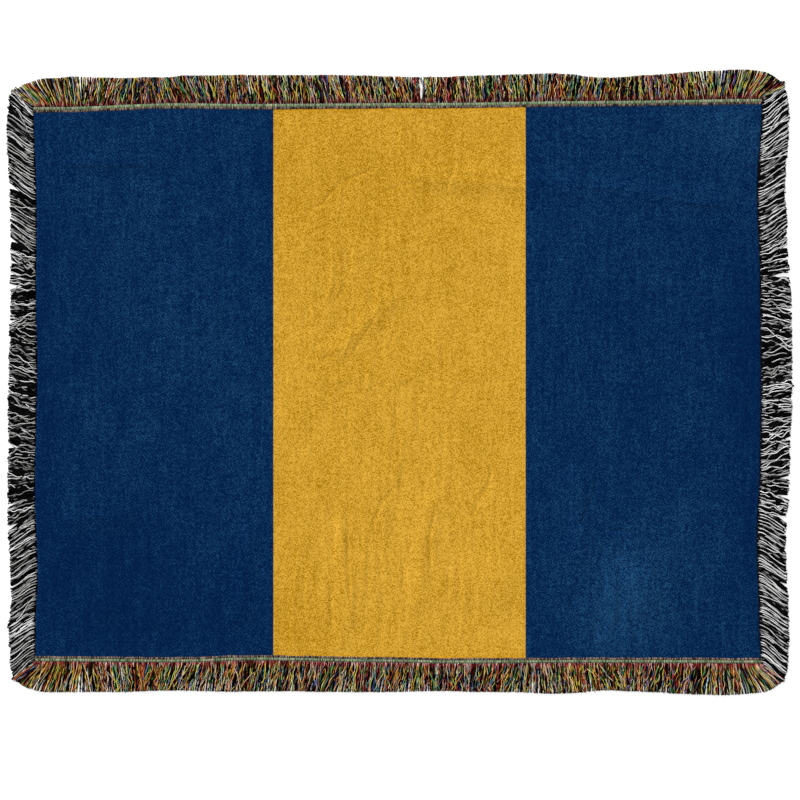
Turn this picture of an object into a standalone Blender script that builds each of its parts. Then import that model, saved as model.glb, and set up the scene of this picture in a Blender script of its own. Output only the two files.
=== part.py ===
"""Woven throw blanket lying flat on a floor: one cloth with a yarn fringe on all four edges.

Metres, +Z up. The origin is on the floor under the middle of the blanket, fringe included.
+X runs along the long edges, +Y towards the top edge and +Z off the floor.
"""

import math
import random
from collections import namedtuple

import bpy
import numpy as np

MM = 0.001

# The cloth. Its long edges are the top and the bottom, and its gold band is centred.
CLOTH_LEFT, CLOTH_RIGHT = -707 * MM, 703 * MM
CLOTH_BOTTOM, CLOTH_TOP = -544 * MM, 542 * MM
CLOTH_THICKNESS = 2.4 * MM
GOLD_HALF_WIDTH = 244.5 * MM
HEADING_WIDTH = 9 * MM  # the woven band at the top and the bottom edge
GRID_STEP = 31 * MM  # the aim for the sides of the cloth's grid cells

# The fringe: locks of yarn that are held by a stitched strip along each edge of the cloth.
SEAT_GAP = 0.3 * MM  # between the strip and the cloth
STRIP_WIDTH = 4 * MM
CORNER_REACH = 4 * MM  # the top and bottom strips run this far past the cloth's corners
LOCK_PITCH = 16.9 * MM
LOCK_LENGTH = 51.5 * MM
LENGTH_SPREAD = 3.4 * MM  # a lock is up to this much longer or shorter
WOBBLE = 1.0  # degrees that a lock strays from its neighbours' lean
SWAY = 3.5  # degrees that a stretch of the fringe is combed to one side
SWAY_LENGTH = 520 * MM
RANDOM_SEED = 11

# How far the cloth's edge is drawn in from a straight line, at places along it.
EdgeRow = namedtuple("EdgeRow", "along_mm drawn_in_mm")
LEFT_EDGE = (
    EdgeRow(-544, 0.4), EdgeRow(-459, 1.0), EdgeRow(-382, 4.8), EdgeRow(-207, -0.4),
    EdgeRow(25, 3.9), EdgeRow(180, 1.6), EdgeRow(330, 2.9), EdgeRow(542, -2.5),
)
RIGHT_EDGE = (
    EdgeRow(-544, 1.0), EdgeRow(-459, 4.8), EdgeRow(-305, 8.7), EdgeRow(-150, 2.9),
    EdgeRow(-30, 1.0), EdgeRow(200, 2.9), EdgeRow(360, 8.2), EdgeRow(542, -1.0),
)
TOP_EDGE = (
    EdgeRow(-707, 7.8), EdgeRow(-659, 7.8), EdgeRow(-427, 0.5), EdgeRow(-291, 1.9),
    EdgeRow(39, 0.0), EdgeRow(388, -3.9), EdgeRow(703, -7.8),
)
BOTTOM_EDGE = (
    EdgeRow(-707, 2.9), EdgeRow(-427, 1.0), EdgeRow(-281, 4.8), EdgeRow(-20, 1.0),
    EdgeRow(97, -1.0), EdgeRow(388, 0.0), EdgeRow(703, -1.0),
)

# Soft folds: ridges that lie in the cloth from one point to the other.
FoldRow = namedtuple("FoldRow", "x1_mm y1_mm x2_mm y2_mm half_width_mm height_mm")
FOLDS = (
    FoldRow(40, 399, 380, 380, 48, 2.6),
    FoldRow(380, 380, 660, 346, 48, 2.6),
    FoldRow(-650, 427, -450, 431, 46, 2.0),
    FoldRow(-640, -263, -540, -261, 46, 1.8),
    FoldRow(-115, -290, -100, -470, 44, 2.4),
    FoldRow(55, -240, 38, -420, 44, 2.4),
    FoldRow(345, -190, 352, -330, 46, 2.6),
    FoldRow(-290, -300, -312, -450, 44, 2.8),
    FoldRow(-20, 160, -120, 60, 46, 2.2),
)

# Swells: places where the cloth bellies up off the floor.
SwellRow = namedtuple("SwellRow", "x_mm y_mm radius_x_mm radius_y_mm height_mm")
SWELLS = (
    SwellRow(470, -400, 150, 140, 4.5),
    SwellRow(-400, 180, 210, 190, 3.2),
    SwellRow(430, 90, 190, 130, 2.6),
    SwellRow(190, -390, 130, 130, 3.0),
    SwellRow(-560, -420, 110, 110, 2.4),
)
FLAT_RIM = 45 * MM  # the folds and swells have died away this far inside the edge

# How a lock leans towards its nearest corner, by its distance from that corner.
LeanRow = namedtuple("LeanRow", "from_corner_mm lean_deg")
LONG_EDGE_LEAN = (
    LeanRow(0, 54), LeanRow(18, 40), LeanRow(42, 25), LeanRow(75, 13), LeanRow(120, 5),
    LeanRow(220, 0),
)
SHORT_EDGE_LEAN = (
    LeanRow(0, 34), LeanRow(32, 33), LeanRow(66, 15), LeanRow(108, 6), LeanRow(150, 16),
    LeanRow(195, 24), LeanRow(265, 21), LeanRow(330, 6), LeanRow(400, 0),
)

# A lock from its root to its tip, as a three-sided section with its flat side on the floor.
LockRow = namedtuple("LockRow", "share width_mm height_mm")
LOCK_SECTIONS = (
    LockRow(0.0, 14.6, 2.4),
    LockRow(0.35, 13.8, 3.6),
    LockRow(0.78, 11.6, 3.2),
    LockRow(1.0, 6.5, 1.8),
)

NAVY = (0.003, 0.026, 0.091)
GOLD = (0.620, 0.330, 0.028)
SAGE = (0.150, 0.160, 0.090)
MIXED_YARN = (0.110, 0.075, 0.048)
BLACK_AND_WHITE_YARN = (0.075, 0.075, 0.075)


def clear_scene():
    """Removes whatever the scene holds."""
    for old in list(bpy.data.objects):
        bpy.data.objects.remove(old)


def yarn_material(name, colour, roughness):
    """A matt, woven or combed cotton of one colour."""
    material = bpy.data.materials.new(name)
    material.use_nodes = True
    shader = material.node_tree.nodes["Principled BSDF"]
    shader.inputs["Base Color"].default_value = (*colour, 1.0)
    shader.inputs["Roughness"].default_value = roughness
    shader.inputs["Metallic"].default_value = 0.0
    material.diffuse_color = (*colour, 1.0)
    return material


def eased(rows, at):
    """Reads a two-column table at the given places, with an eased step from row to row."""
    places, values = np.array(rows, float).T
    at = np.clip(at, places[0], places[-1])
    row = np.clip(np.searchsorted(places, at, side="right") - 1, 0, len(places) - 2)
    share = (at - places[row]) / (places[row + 1] - places[row])
    return values[row] + (values[row + 1] - values[row]) * share * share * (3 - 2 * share)


def drawn_in(edge, along):
    """How far an edge of the cloth is drawn in at places along it, in metres."""
    return eased(edge, np.asarray(along) / MM) * MM


def steps_between(*stops):
    """Grid lines at every stop, with even steps of about GRID_STEP between them."""
    lines = [stops[0]]
    for low, high in zip(stops, stops[1:]):
        count = max(1, round((high - low) / GRID_STEP))
        lines += list(np.linspace(low, high, count + 1)[1:])
    return np.array(lines)


def hump(distance):
    """1 on a fold's or swell's crest, falling smoothly to 0 at a distance of 1."""
    return np.cos(np.clip(distance, 0, 1) * math.pi / 2) ** 4


def fold_height(x, y):
    """How high the underside of the cloth stands off the floor at (x, y)."""
    height = np.zeros_like(x)
    for fold in FOLDS:
        start = np.array((fold.x1_mm, fold.y1_mm)) * MM
        run = np.array((fold.x2_mm, fold.y2_mm)) * MM - start
        share = ((x - start[0]) * run[0] + (y - start[1]) * run[1]) / (run @ run)
        share = np.clip(share, 0, 1)
        away = np.hypot(x - start[0] - share * run[0], y - start[1] - share * run[1])
        ridge = hump(away / (fold.half_width_mm * MM)) * fold.height_mm * MM
        height = np.maximum(height, ridge)
    for swell in SWELLS:
        away = np.hypot(
            (x / MM - swell.x_mm) / swell.radius_x_mm,
            (y / MM - swell.y_mm) / swell.radius_y_mm,
        )
        height = np.maximum(height, hump(away) * swell.height_mm * MM)
    to_edge = np.minimum.reduce(
        (x - CLOTH_LEFT, CLOTH_RIGHT - x, y - CLOTH_BOTTOM, CLOTH_TOP - y)
    )
    rim = np.clip((to_edge - FLAT_RIM) / FLAT_RIM, 0, 1)
    return height * rim * rim * (3 - 2 * rim)


def cloth_grid():
    """The cloth's points as (columns, rows) arrays of x and y, with its edges drawn in."""
    columns = steps_between(CLOTH_LEFT, -GOLD_HALF_WIDTH, GOLD_HALF_WIDTH, CLOTH_RIGHT)
    rows = steps_between(
        CLOTH_BOTTOM, CLOTH_BOTTOM + HEADING_WIDTH, CLOTH_TOP - HEADING_WIDTH, CLOTH_TOP
    )
    x, y = np.meshgrid(columns, rows, indexing="ij")
    # An edge pulls on the cloth up to the gold band at the sides, and to the middle elsewhere.
    left = np.clip((-GOLD_HALF_WIDTH - x) / (-GOLD_HALF_WIDTH - CLOTH_LEFT), 0, 1)
    right = np.clip((x - GOLD_HALF_WIDTH) / (CLOTH_RIGHT - GOLD_HALF_WIDTH), 0, 1)
    top, bottom = np.clip(y / CLOTH_TOP, 0, 1), np.clip(y / CLOTH_BOTTOM, 0, 1)
    pulled_x = x + left * drawn_in(LEFT_EDGE, y) - right * drawn_in(RIGHT_EDGE, y)
    pulled_y = y - top * drawn_in(TOP_EDGE, x) + bottom * drawn_in(BOTTOM_EDGE, x)
    return columns, rows, pulled_x, pulled_y


def object_of(name, points, faces, materials):
    """A mesh object with its points in place."""
    mesh = bpy.data.meshes.new(name)
    mesh.from_pydata([tuple(map(float, p)) for p in points], [], faces)
    for material in materials:
        mesh.materials.append(material)
    mesh.update()
    made = bpy.data.objects.new(name, mesh)
    bpy.context.scene.collection.objects.link(made)
    return made


def build_cloth(navy, gold, heading):
    """The cloth: its underside, flat on the floor between the folds, thickened upwards."""
    columns, rows, x, y = cloth_grid()
    across, up = x.shape
    points = np.stack((x, y, fold_height(x, y)), axis=-1).reshape(-1, 3)
    faces, colours = [], []
    for i in range(across - 1):
        is_gold = abs(columns[i] + columns[i + 1]) / 2 < GOLD_HALF_WIDTH
        for j in range(up - 1):
            corner = i * up + j
            faces.append((corner, corner + up, corner + up + 1, corner + 1))
            is_heading = j in (0, up - 2)
            colours.append(2 if is_heading else int(is_gold))
    cloth = object_of("cloth", points, faces, [navy, gold, heading])
    cloth.data.polygons.foreach_set("material_index", colours)
    cloth.data.shade_smooth()
    sheet = cloth.modifiers.new("thickness", "SOLIDIFY")
    sheet.thickness = CLOTH_THICKNESS
    sheet.offset = 1.0
    sheet.use_even_offset = True
    return cloth


def lean_at(lean_rows, from_start, length):
    """The lean of the fringe at a place along its edge, in degrees towards the edge's end."""
    towards_start = eased(lean_rows, from_start / MM)
    towards_end = eased(lean_rows, (length - from_start) / MM)
    sway = SWAY * math.sin(2 * math.pi * from_start / SWAY_LENGTH)
    inland = min(1.0, min(from_start, length - from_start) / (SWAY_LENGTH / 2))
    return float(towards_end - towards_start + sway * inland)


def zipped(lower_row, upper_row, places):
    """Triangles that fill the band between two rows of points, both in order of place."""
    faces, i, j = [], 0, 0
    while i < len(lower_row) - 1 or j < len(upper_row) - 1:
        next_lower = places[lower_row[i + 1]] if i < len(lower_row) - 1 else math.inf
        next_upper = places[upper_row[j + 1]] if j < len(upper_row) - 1 else math.inf
        if next_lower <= next_upper:
            faces.append((lower_row[i], lower_row[i + 1], upper_row[j]))
            i += 1
        else:
            faces.append((lower_row[i], upper_row[j + 1], upper_row[j]))
            j += 1
    return faces


class Fringe:
    """A stitched strip along one edge of the cloth, with the locks that grow out of it.

    The edge is a row of points of the cloth, in the order in which the outward side is on
    the left hand, turned as along x outward = +Z.
    """

    def __init__(self, name, edge, along, outward, lean_rows, seed):
        self.name = name
        self.edge = edge
        self.along = np.array(along, float)
        self.outward = np.array(outward, float)
        self.lean_rows = lean_rows
        self.random = random.Random(seed)
        self.points, self.places, self.faces = [], [], []

    def add(self, place, out, height):
        """Adds a point by its place along the edge, its distance from it and its height."""
        start = self.edge[0] @ self.along
        stations = self.edge @ self.along - start
        base = np.interp(place, stations, self.edge @ self.outward)
        flat = self.along * (start + place) + self.outward * (base + out)
        self.points.append((flat[0], flat[1], height))
        self.places.append(place)
        return len(self.points) - 1

    def add_strip(self, length):
        """The strip's back rows, which follow the cloth's edge, and its two front ends."""
        stations = self.edge @ self.along - self.edge[0] @ self.along
        back = [
            [self.add(place, SEAT_GAP, height) for place in stations]
            for height in (0.0, CLOTH_THICKNESS)
        ]
        front = SEAT_GAP + STRIP_WIDTH
        ends = [
            [self.add(place, front, height) for height in (0.0, CLOTH_THICKNESS)]
            for place in (0.0, length)
        ]
        return back, ends

    def add_lock(self, place, length):
        """A tapering lock. Returns its root section: left, right and ridge point."""
        lean = math.radians(
            lean_at(self.lean_rows, place, length) + self.random.uniform(-WOBBLE, WOBBLE)
        )
        reach = LOCK_LENGTH + self.random.uniform(-LENGTH_SPREAD, LENGTH_SPREAD)
        front = SEAT_GAP + STRIP_WIDTH
        base = self.edge_line(place)
        rings = []
        for section in LOCK_SECTIONS:
            half, height = section.width_mm * MM / 2, section.height_mm * MM
            if section.share == 0:
                ring = [
                    self.add(place - half, front, 0.0),
                    self.add(place + half, front, 0.0),
                    self.add(place, front, height),
                ]
            else:
                side = place + reach * section.share * math.sin(lean)
                out = base + front + reach * section.share * math.cos(lean)
                ring = [
                    self.add_free(side - half, out, 0.0),
                    self.add_free(side + half, out, 0.0),
                    self.add_free(side, out, height),
                ]
            rings.append(ring)
        for (l1, r1, t1), (l2, r2, t2) in zip(rings, rings[1:]):
            self.faces += [(l1, l2, r2, r1), (l1, t1, t2, l2), (r1, r2, t2, t1)]
        tip_left, tip_right, tip_ridge = rings[-1]
        self.faces.append((tip_left, tip_ridge, tip_right))
        return rings[0]

    def edge_line(self, place):
        """How far out the cloth's edge lies at a place along it."""
        stations = self.edge @ self.along - self.edge[0] @ self.along
        return float(np.interp(place, stations, self.edge @ self.outward))

    def add_free(self, place, out, height):
        """Adds a point by its place along the edge and its distance out from the origin."""
        flat = self.along * (self.edge[0] @ self.along + place) + self.outward * out
        self.points.append((flat[0], flat[1], height))
        self.places.append(place)
        return len(self.points) - 1

    def build(self, material):
        """The strip and its locks as one closed body."""
        length = float((self.edge[-1] - self.edge[0]) @ self.along)
        (back_low, back_high), (start, end) = self.add_strip(length)
        count = round(length / LOCK_PITCH)
        pitch = length / count
        roots = [self.add_lock((i + 0.5) * pitch, length) for i in range(count)]
        front_low = [start[0], *(p for root in roots for p in root[:2]), end[0]]
        front_high = [start[1], *(root[2] for root in roots), end[1]]
        self.faces += [tuple(reversed(f)) for f in zipped(back_low, front_low, self.places)]
        self.faces += zipped(back_high, front_high, self.places)
        for low, high in zip(zip(back_low, back_low[1:]), zip(back_high, back_high[1:])):
            self.faces.append((low[0], low[1], high[1], high[0]))
        between = list(zip(front_low[::2], front_low[1::2]))
        for (a, b), (high_a, high_b) in zip(between, zip(front_high, front_high[1:])):
            self.faces.append((b, a, high_a, high_b))
        self.faces.append((start[0], back_low[0], back_high[0], start[1]))
        self.faces.append((back_low[-1], end[0], end[1], back_high[-1]))
        return object_of(self.name, self.points, self.faces, [material])


def past_both_ends(edge):
    """An edge of the cloth, run on past its corners for the top and the bottom strip."""
    step = np.array((math.copysign(CORNER_REACH, edge[-1][0] - edge[0][0]), 0.0))
    return np.concatenate(([edge[0] - step], edge, [edge[-1] + step]))


def build_fringes(mixed, black_and_white):
    """The four fringes, clockwise from the top edge."""
    _, _, x, y = cloth_grid()
    grid = np.stack((x, y), axis=-1)
    top, right = past_both_ends(grid[:, -1]), grid[-1, ::-1]
    bottom, left = past_both_ends(grid[::-1, 0]), grid[0]
    plan = (
        ("fringe_top", top, (1, 0), (0, 1), LONG_EDGE_LEAN, mixed),
        ("fringe_right", right, (0, -1), (1, 0), SHORT_EDGE_LEAN, black_and_white),
        ("fringe_bottom", bottom, (-1, 0), (0, -1), LONG_EDGE_LEAN, mixed),
        ("fringe_left", left, (0, 1), (-1, 0), SHORT_EDGE_LEAN, black_and_white),
    )
    for number, (name, edge, along, outward, lean_rows, material) in enumerate(plan):
        Fringe(name, edge, along, outward, lean_rows, RANDOM_SEED + number).build(material)


def main():
    clear_scene()
    build_cloth(
        yarn_material("navy_weave", NAVY, 0.9),
        yarn_material("gold_weave", GOLD, 0.9),
        yarn_material("sage_heading", SAGE, 0.9),
    )
    build_fringes(
        yarn_material("mixed_yarn", MIXED_YARN, 0.85),
        yarn_material("black_and_white_yarn", BLACK_AND_WHITE_YARN, 0.85),
    )


main()
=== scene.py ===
"""Looks of a woven cotton throw blanket with a yarn fringe, lying flat on a pale floor.

Metres, +Z up. +X runs along the long edges, +Y towards the top edge. A length that is written
in millimetres is multiplied by MM.
"""

import logging
import math
from dataclasses import dataclass, replace
from enum import Enum
from typing import NamedTuple

import bpy
import numpy as np
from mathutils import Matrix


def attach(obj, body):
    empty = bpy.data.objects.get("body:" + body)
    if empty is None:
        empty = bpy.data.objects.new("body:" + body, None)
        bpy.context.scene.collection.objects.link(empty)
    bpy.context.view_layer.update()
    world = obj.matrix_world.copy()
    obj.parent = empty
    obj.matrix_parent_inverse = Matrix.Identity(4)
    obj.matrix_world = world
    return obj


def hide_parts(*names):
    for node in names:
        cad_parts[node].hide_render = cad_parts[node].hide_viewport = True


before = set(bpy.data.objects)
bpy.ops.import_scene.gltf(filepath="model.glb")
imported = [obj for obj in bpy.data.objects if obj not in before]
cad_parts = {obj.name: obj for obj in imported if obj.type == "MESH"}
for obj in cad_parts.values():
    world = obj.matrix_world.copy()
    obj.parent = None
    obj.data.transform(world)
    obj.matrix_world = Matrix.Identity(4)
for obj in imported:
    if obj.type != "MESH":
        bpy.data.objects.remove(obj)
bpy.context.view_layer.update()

MM = 0.001
# The cloth's flat edges along x and y, and half the width of its gold band.
CLOTH_X = (-707 * MM, 703 * MM)
CLOTH_Y = (-544 * MM, 542 * MM)
GOLD_HALF_WIDTH = 244.5 * MM
NOISE_CELLS = 511
TINY = 1e-12
# Where each kind of piece begins its numbers drawn by chance.
HEADING_SEED = 31
END_SEED = 41
SIDE_SEED = 51
LOG = logging.getLogger("throw_blanket")


def linear(hex_colour: str) -> tuple[float, float, float]:
    """Turns an sRGB colour into the linear values that Blender works in.

    Args:
        hex_colour: Six hex digits after a "#".

    Returns:
        The red, green and blue parts, each from 0 to 1.
    """
    parts = [int(hex_colour[i : i + 2], 16) / 255 for i in (1, 3, 5)]
    red, green, blue = (
        p / 12.92 if p <= 0.04045 else ((p + 0.055) / 1.055) ** 2.4 for p in parts
    )
    return red, green, blue


def smooth(share: np.ndarray) -> np.ndarray:
    """An S-shaped rise, 3q^2 - 2q^3, from 0 at 0 to 1 at 1."""
    return share * share * (3 - 2 * share)


def eased(rows: tuple, at: np.ndarray) -> np.ndarray:
    """Reads a table of (place, value) rows, with a smooth step from row to row.

    Args:
        rows: The table, with its places in rising order.
        at: The places to read.

    Returns:
        The values there. Outside the table its end values hold.
    """
    places, values = np.array([tuple(row)[:2] for row in rows], float).T
    at = np.clip(at, places[0], places[-1])
    row = np.clip(np.searchsorted(places, at, side="right") - 1, 0, len(places) - 2)
    share = (at - places[row]) / (places[row + 1] - places[row])
    return values[row] + (values[row + 1] - values[row]) * smooth(share)


def soft_step(value: np.ndarray, low: float, high: float) -> np.ndarray:
    """0 below low, 1 above high and a smooth rise between them."""
    return smooth(np.clip((value - low) / (high - low), 0.0, 1.0))


class Side(Enum):
    """An edge of the blanket: its name, and the directions along it and out from it."""

    TOP = ("top", (1, 0), (0, 1))
    RIGHT = ("right", (0, -1), (1, 0))
    BOTTOM = ("bottom", (-1, 0), (0, -1))
    LEFT = ("left", (0, 1), (-1, 0))

    @property
    def label(self) -> str:
        """The side's name, as in the names of its pieces."""
        return self.value[0]

    @property
    def along(self) -> np.ndarray:
        """The direction in which places along the edge are counted."""
        return np.array(self.value[1], float)

    @property
    def outward(self) -> np.ndarray:
        """The direction in which the fringe leaves the cloth."""
        return np.array(self.value[2], float)


class EdgeRow(NamedTuple):
    """How far an edge of the cloth is drawn in, at a place along it."""

    along_mm: float
    drawn_in_mm: float


class FoldRow(NamedTuple):
    """A soft ridge from one point to another."""

    x1_mm: float
    y1_mm: float
    x2_mm: float
    y2_mm: float
    half_width_mm: float
    height_mm: float


class CreaseRow(NamedTuple):
    """A fine crease along a line through points: its height is negative for a trough."""

    line_mm: tuple
    half_width_mm: float
    height_mm: float


class PatchRow(NamedTuple):
    """A soft round patch: a place where the cloth bellies up, a patch of painted light or painted shade,
    or a place where it is rumpled.
    """

    x_mm: float
    y_mm: float
    radius_x_mm: float
    radius_y_mm: float
    height: float

    def share_off(self, x: np.ndarray, y: np.ndarray) -> np.ndarray:
        """How far points lie from the middle, as a share of the radius in their direction."""
        off_x = (x / MM - self.x_mm) / self.radius_x_mm
        off_y = (y / MM - self.y_mm) / self.radius_y_mm
        return np.hypot(off_x, off_y)


class NoiseRow(NamedTuple):
    """A layer of smooth noise: its cells' size, its height, and more height where rumpled."""

    wide_mm: float
    tall_mm: float
    height: float
    seed: int
    if_rumpled: float = 0.0
    is_bent: bool = False


class ReachRow(NamedTuple):
    """How far the fringe's tips lie past the cloth, at a place along its edge."""

    along_mm: float
    reach_mm: float


class Parting(NamedTuple):
    """A place along an edge where the yarns part, over this share of their length."""

    along_mm: float
    half_width_mm: float
    share: float = 0.4


class LeanRow(NamedTuple):
    """How far the fringe leans towards +x or +y, at a place along its edge."""

    along_mm: float
    lean_deg: float


EDGES = {
    Side.LEFT: (
        EdgeRow(-544, 0.4), EdgeRow(-459, 1.0), EdgeRow(-382, 4.8), EdgeRow(-207, -0.4),
        EdgeRow(25, 3.9), EdgeRow(180, 1.6), EdgeRow(330, 2.9), EdgeRow(542, -2.5),
    ),
    Side.RIGHT: (
        EdgeRow(-544, 1.0), EdgeRow(-459, 4.8), EdgeRow(-305, 8.7), EdgeRow(-150, 2.9),
        EdgeRow(-30, 1.0), EdgeRow(200, 2.9), EdgeRow(360, 8.2), EdgeRow(542, -1.0),
    ),
    Side.TOP: (
        EdgeRow(-707, 7.8), EdgeRow(-659, 7.8), EdgeRow(-427, 0.5), EdgeRow(-291, 1.9),
        EdgeRow(39, 0.0), EdgeRow(388, -3.9), EdgeRow(703, -7.8),
    ),
    Side.BOTTOM: (
        EdgeRow(-707, 2.9), EdgeRow(-427, 1.0), EdgeRow(-281, 4.8), EdgeRow(-20, 1.0),
        EdgeRow(97, -1.0), EdgeRow(388, 0.0), EdgeRow(703, -1.0),
    ),
}

FOLDS = (
    FoldRow(40, 399, 380, 380, 48, 2.6),
    FoldRow(380, 380, 660, 346, 48, 2.6),
    FoldRow(-650, 427, -450, 431, 46, 2.0),
    FoldRow(-640, -263, -540, -261, 46, 1.8),
    FoldRow(-115, -290, -100, -470, 44, 2.4),
    FoldRow(55, -240, 38, -420, 44, 2.4),
    FoldRow(345, -190, 352, -330, 46, 2.6),
    FoldRow(-290, -300, -312, -450, 44, 2.8),
    FoldRow(-20, 160, -120, 60, 46, 2.2),
)

# Places where the cloth bellies up off the floor: the last number is in millimetres.
SWELLS = (
    PatchRow(470, -400, 150, 140, 4.5),
    PatchRow(-400, 180, 210, 190, 3.2),
    PatchRow(430, 90, 190, 130, 2.6),
    PatchRow(190, -390, 130, 130, 3.0),
    PatchRow(-560, -420, 110, 110, 2.4),
)

# Finer creases, placed one by one.
CREASES = (
    CreaseRow(((40, 406), (112, 403), (162, 397), (224, 387), (282, 379), (331, 377)), 6, -0.8),
    CreaseRow(((331, 377), (422, 368), (467, 364)), 6, -0.8),
    CreaseRow(((467, 368), (505, 362), (552, 350), (583, 346), (651, 339)), 6, 0.9),
    CreaseRow(((321, 455), (404, 455), (467, 451), (525, 449)), 6, -0.7),
    CreaseRow(((-705, 426), (-659, 426), (-587, 420), (-503, 424)), 6, 0.7),
    CreaseRow(((-690, 496), (-484, 496), (-267, 494)), 6, -0.5),
    CreaseRow(((-676, 480), (-676, 325)), 7, 0.5),
    CreaseRow(((-670, -269), (-579, -261), (-550, -267)), 6, 0.6),
    CreaseRow(((-550, -131), (-519, -129), (-496, -112)), 7, 0.6),
    CreaseRow(((-461, -92), (-453, -145)), 7, -0.7),
    CreaseRow(((-294, -121), (-317, -209), (-335, -271)), 7, 0.6),
    CreaseRow(((-331, -344), (-317, -416), (-304, -484)), 7, -0.9),
    CreaseRow(((-288, -311), (-296, -383), (-282, -445)), 7, -0.8),
    CreaseRow(((-179, 331), (-148, 348), (-131, 370), (-112, 389), (-63, 408), (-44, 418)), 6, -0.8),
    CreaseRow(((-112, 379), (-121, 315)), 6, 0.5),
    CreaseRow(((-160, 309), (-156, 179)), 6, -0.5),
    CreaseRow(((-131, 257), (-129, 193), (-145, 146)), 6, 0.8),
    CreaseRow(((-86, 290), (-96, 238), (-96, 199)), 6, -0.6),
    CreaseRow(((-99, 199), (-122, 159)), 6, -0.65),
    CreaseRow(((-96, 146), (-92, 96), (-110, 53)), 6, 0.8),
    CreaseRow(((-26, 158), (-60, 104), (-91, 57)), 6, -0.65),
    CreaseRow(((-9, 102), (-24, 57)), 6, -0.7),
    CreaseRow(((-57, 30), (-61, -15)), 6, 0.7),
    CreaseRow(((-22, 5), (-44, -28)), 6, -0.8),
    CreaseRow(((84, 67), (84, 20)), 6, -0.8),
    CreaseRow(((108, 426), (92, 373)), 6, -0.8),
    CreaseRow(((-32, 368), (7, 383), (44, 389)), 6, -0.6),
    CreaseRow(((-180, 16), (-160, 34), (-141, 50), (-115, 50)), 6, -0.7),
    CreaseRow(((-122, 142), (-119, 92)), 6, -0.5),
    CreaseRow(((133, 38), (137, -1)), 6, -0.5),
    CreaseRow(((-102, -53), (-98, -145)), 7, -0.7),
    CreaseRow(((-189, -174), (-170, -112)), 7, 0.6),
    CreaseRow(((-7, -44), (-1, -150)), 7, -0.8),
    CreaseRow(((34, -40), (40, -112), (65, -183)), 7, -0.8),
    CreaseRow(((-44, -38), (-44, -63)), 7, -0.7),
    CreaseRow(((-28, -222), (-49, -267), (-49, -292), (-42, -331)), 7, -1.0),
    CreaseRow(((-3, -199), (-28, -228)), 7, -0.8),
    CreaseRow(((69, -247), (59, -300), (59, -358)), 7, -0.85),
    CreaseRow(((179, -164), (172, -203), (156, -222), (141, -261)), 7, -1.1),
    CreaseRow(((-102, -247), (-100, -306), (-98, -389), (-92, -447)), 7, -0.9),
    CreaseRow(((-73, -280), (-73, -350)), 7, -0.7),
    CreaseRow(((-125, -280), (-129, -344)), 7, -0.7),
    CreaseRow(((-187, -373), (-183, -447), (-178, -486)), 7, -0.8),
    CreaseRow(((-135, -397), (-131, -486)), 7, -0.8),
    CreaseRow(((81, -455), (82, -500)), 7, 0.8),
    CreaseRow(((121, -350), (127, -422), (117, -500)), 7, 0.6),
    CreaseRow(((-18, -451), (-18, -486)), 7, -0.6),
    CreaseRow(((119, -232), (119, -261)), 7, -0.8),
    CreaseRow(((476, 222), (472, 164)), 7, 0.5),
    CreaseRow(((434, 49), (490, 42), (544, 32)), 6, 0.7),
    CreaseRow(((628, -102), (661, -112)), 6, 0.5),
    CreaseRow(((480, -218), (564, -212), (635, -209)), 6, 0.5),
    CreaseRow(((383, -176), (379, -214), (366, -243), (350, -280)), 7, -1.2),
    CreaseRow(((327, -243), (327, -280)), 7, -0.9),
    CreaseRow(((395, -286), (451, -290)), 7, -1.1),
    CreaseRow(((486, -311), (511, -306), (536, -294)), 7, -0.8),
    CreaseRow(((395, -306), (393, -348)), 7, -0.8),
    CreaseRow(((416, -315), (422, -354)), 7, -0.6),
    CreaseRow(((436, -315), (447, -360)), 7, -0.6),
    CreaseRow(((478, -306), (486, -350), (492, -397), (494, -500)), 7, 1.0),
    CreaseRow(((331, -370), (325, -436)), 7, 0.7),
    CreaseRow(((288, -474), (282, -513)), 7, 0.6),
    CreaseRow(((428, -112), (422, -150)), 7, 0.6),
    CreaseRow(((340, -15), (340, -82)), 7, -0.4),
    CreaseRow(((370, -18), (373, -82)), 7, -0.4),
)

# Opposite fringes lean alike.
END_LEANS = (
    LeanRow(-707, -50), LeanRow(-690, -38), LeanRow(-665, -22), LeanRow(-635, -10),
    LeanRow(-590, 11), LeanRow(-525, 5), LeanRow(-465, -14), LeanRow(-405, -18),
    LeanRow(-345, -5), LeanRow(-230, -9), LeanRow(-115, -14), LeanRow(-55, -7),
    LeanRow(0, -12), LeanRow(60, 2), LeanRow(120, -3), LeanRow(205, -10), LeanRow(290, 5),
    LeanRow(350, 7), LeanRow(408, 10), LeanRow(465, -1), LeanRow(525, -8), LeanRow(583, -12),
    LeanRow(635, 10), LeanRow(665, 22), LeanRow(690, 36), LeanRow(703, 50),
)
SIDE_LEANS = (
    LeanRow(-544, -38), LeanRow(-515, -37), LeanRow(-460, -30), LeanRow(-345, -31),
    LeanRow(-285, -29), LeanRow(-228, -20), LeanRow(-200, -8), LeanRow(-170, 6),
    LeanRow(-112, 8), LeanRow(5, 9), LeanRow(63, 9), LeanRow(90, 0), LeanRow(121, -14),
    LeanRow(179, 0), LeanRow(238, 21), LeanRow(296, 28), LeanRow(412, 29), LeanRow(470, 33),
    LeanRow(515, 37), LeanRow(542, 38),
)

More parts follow.
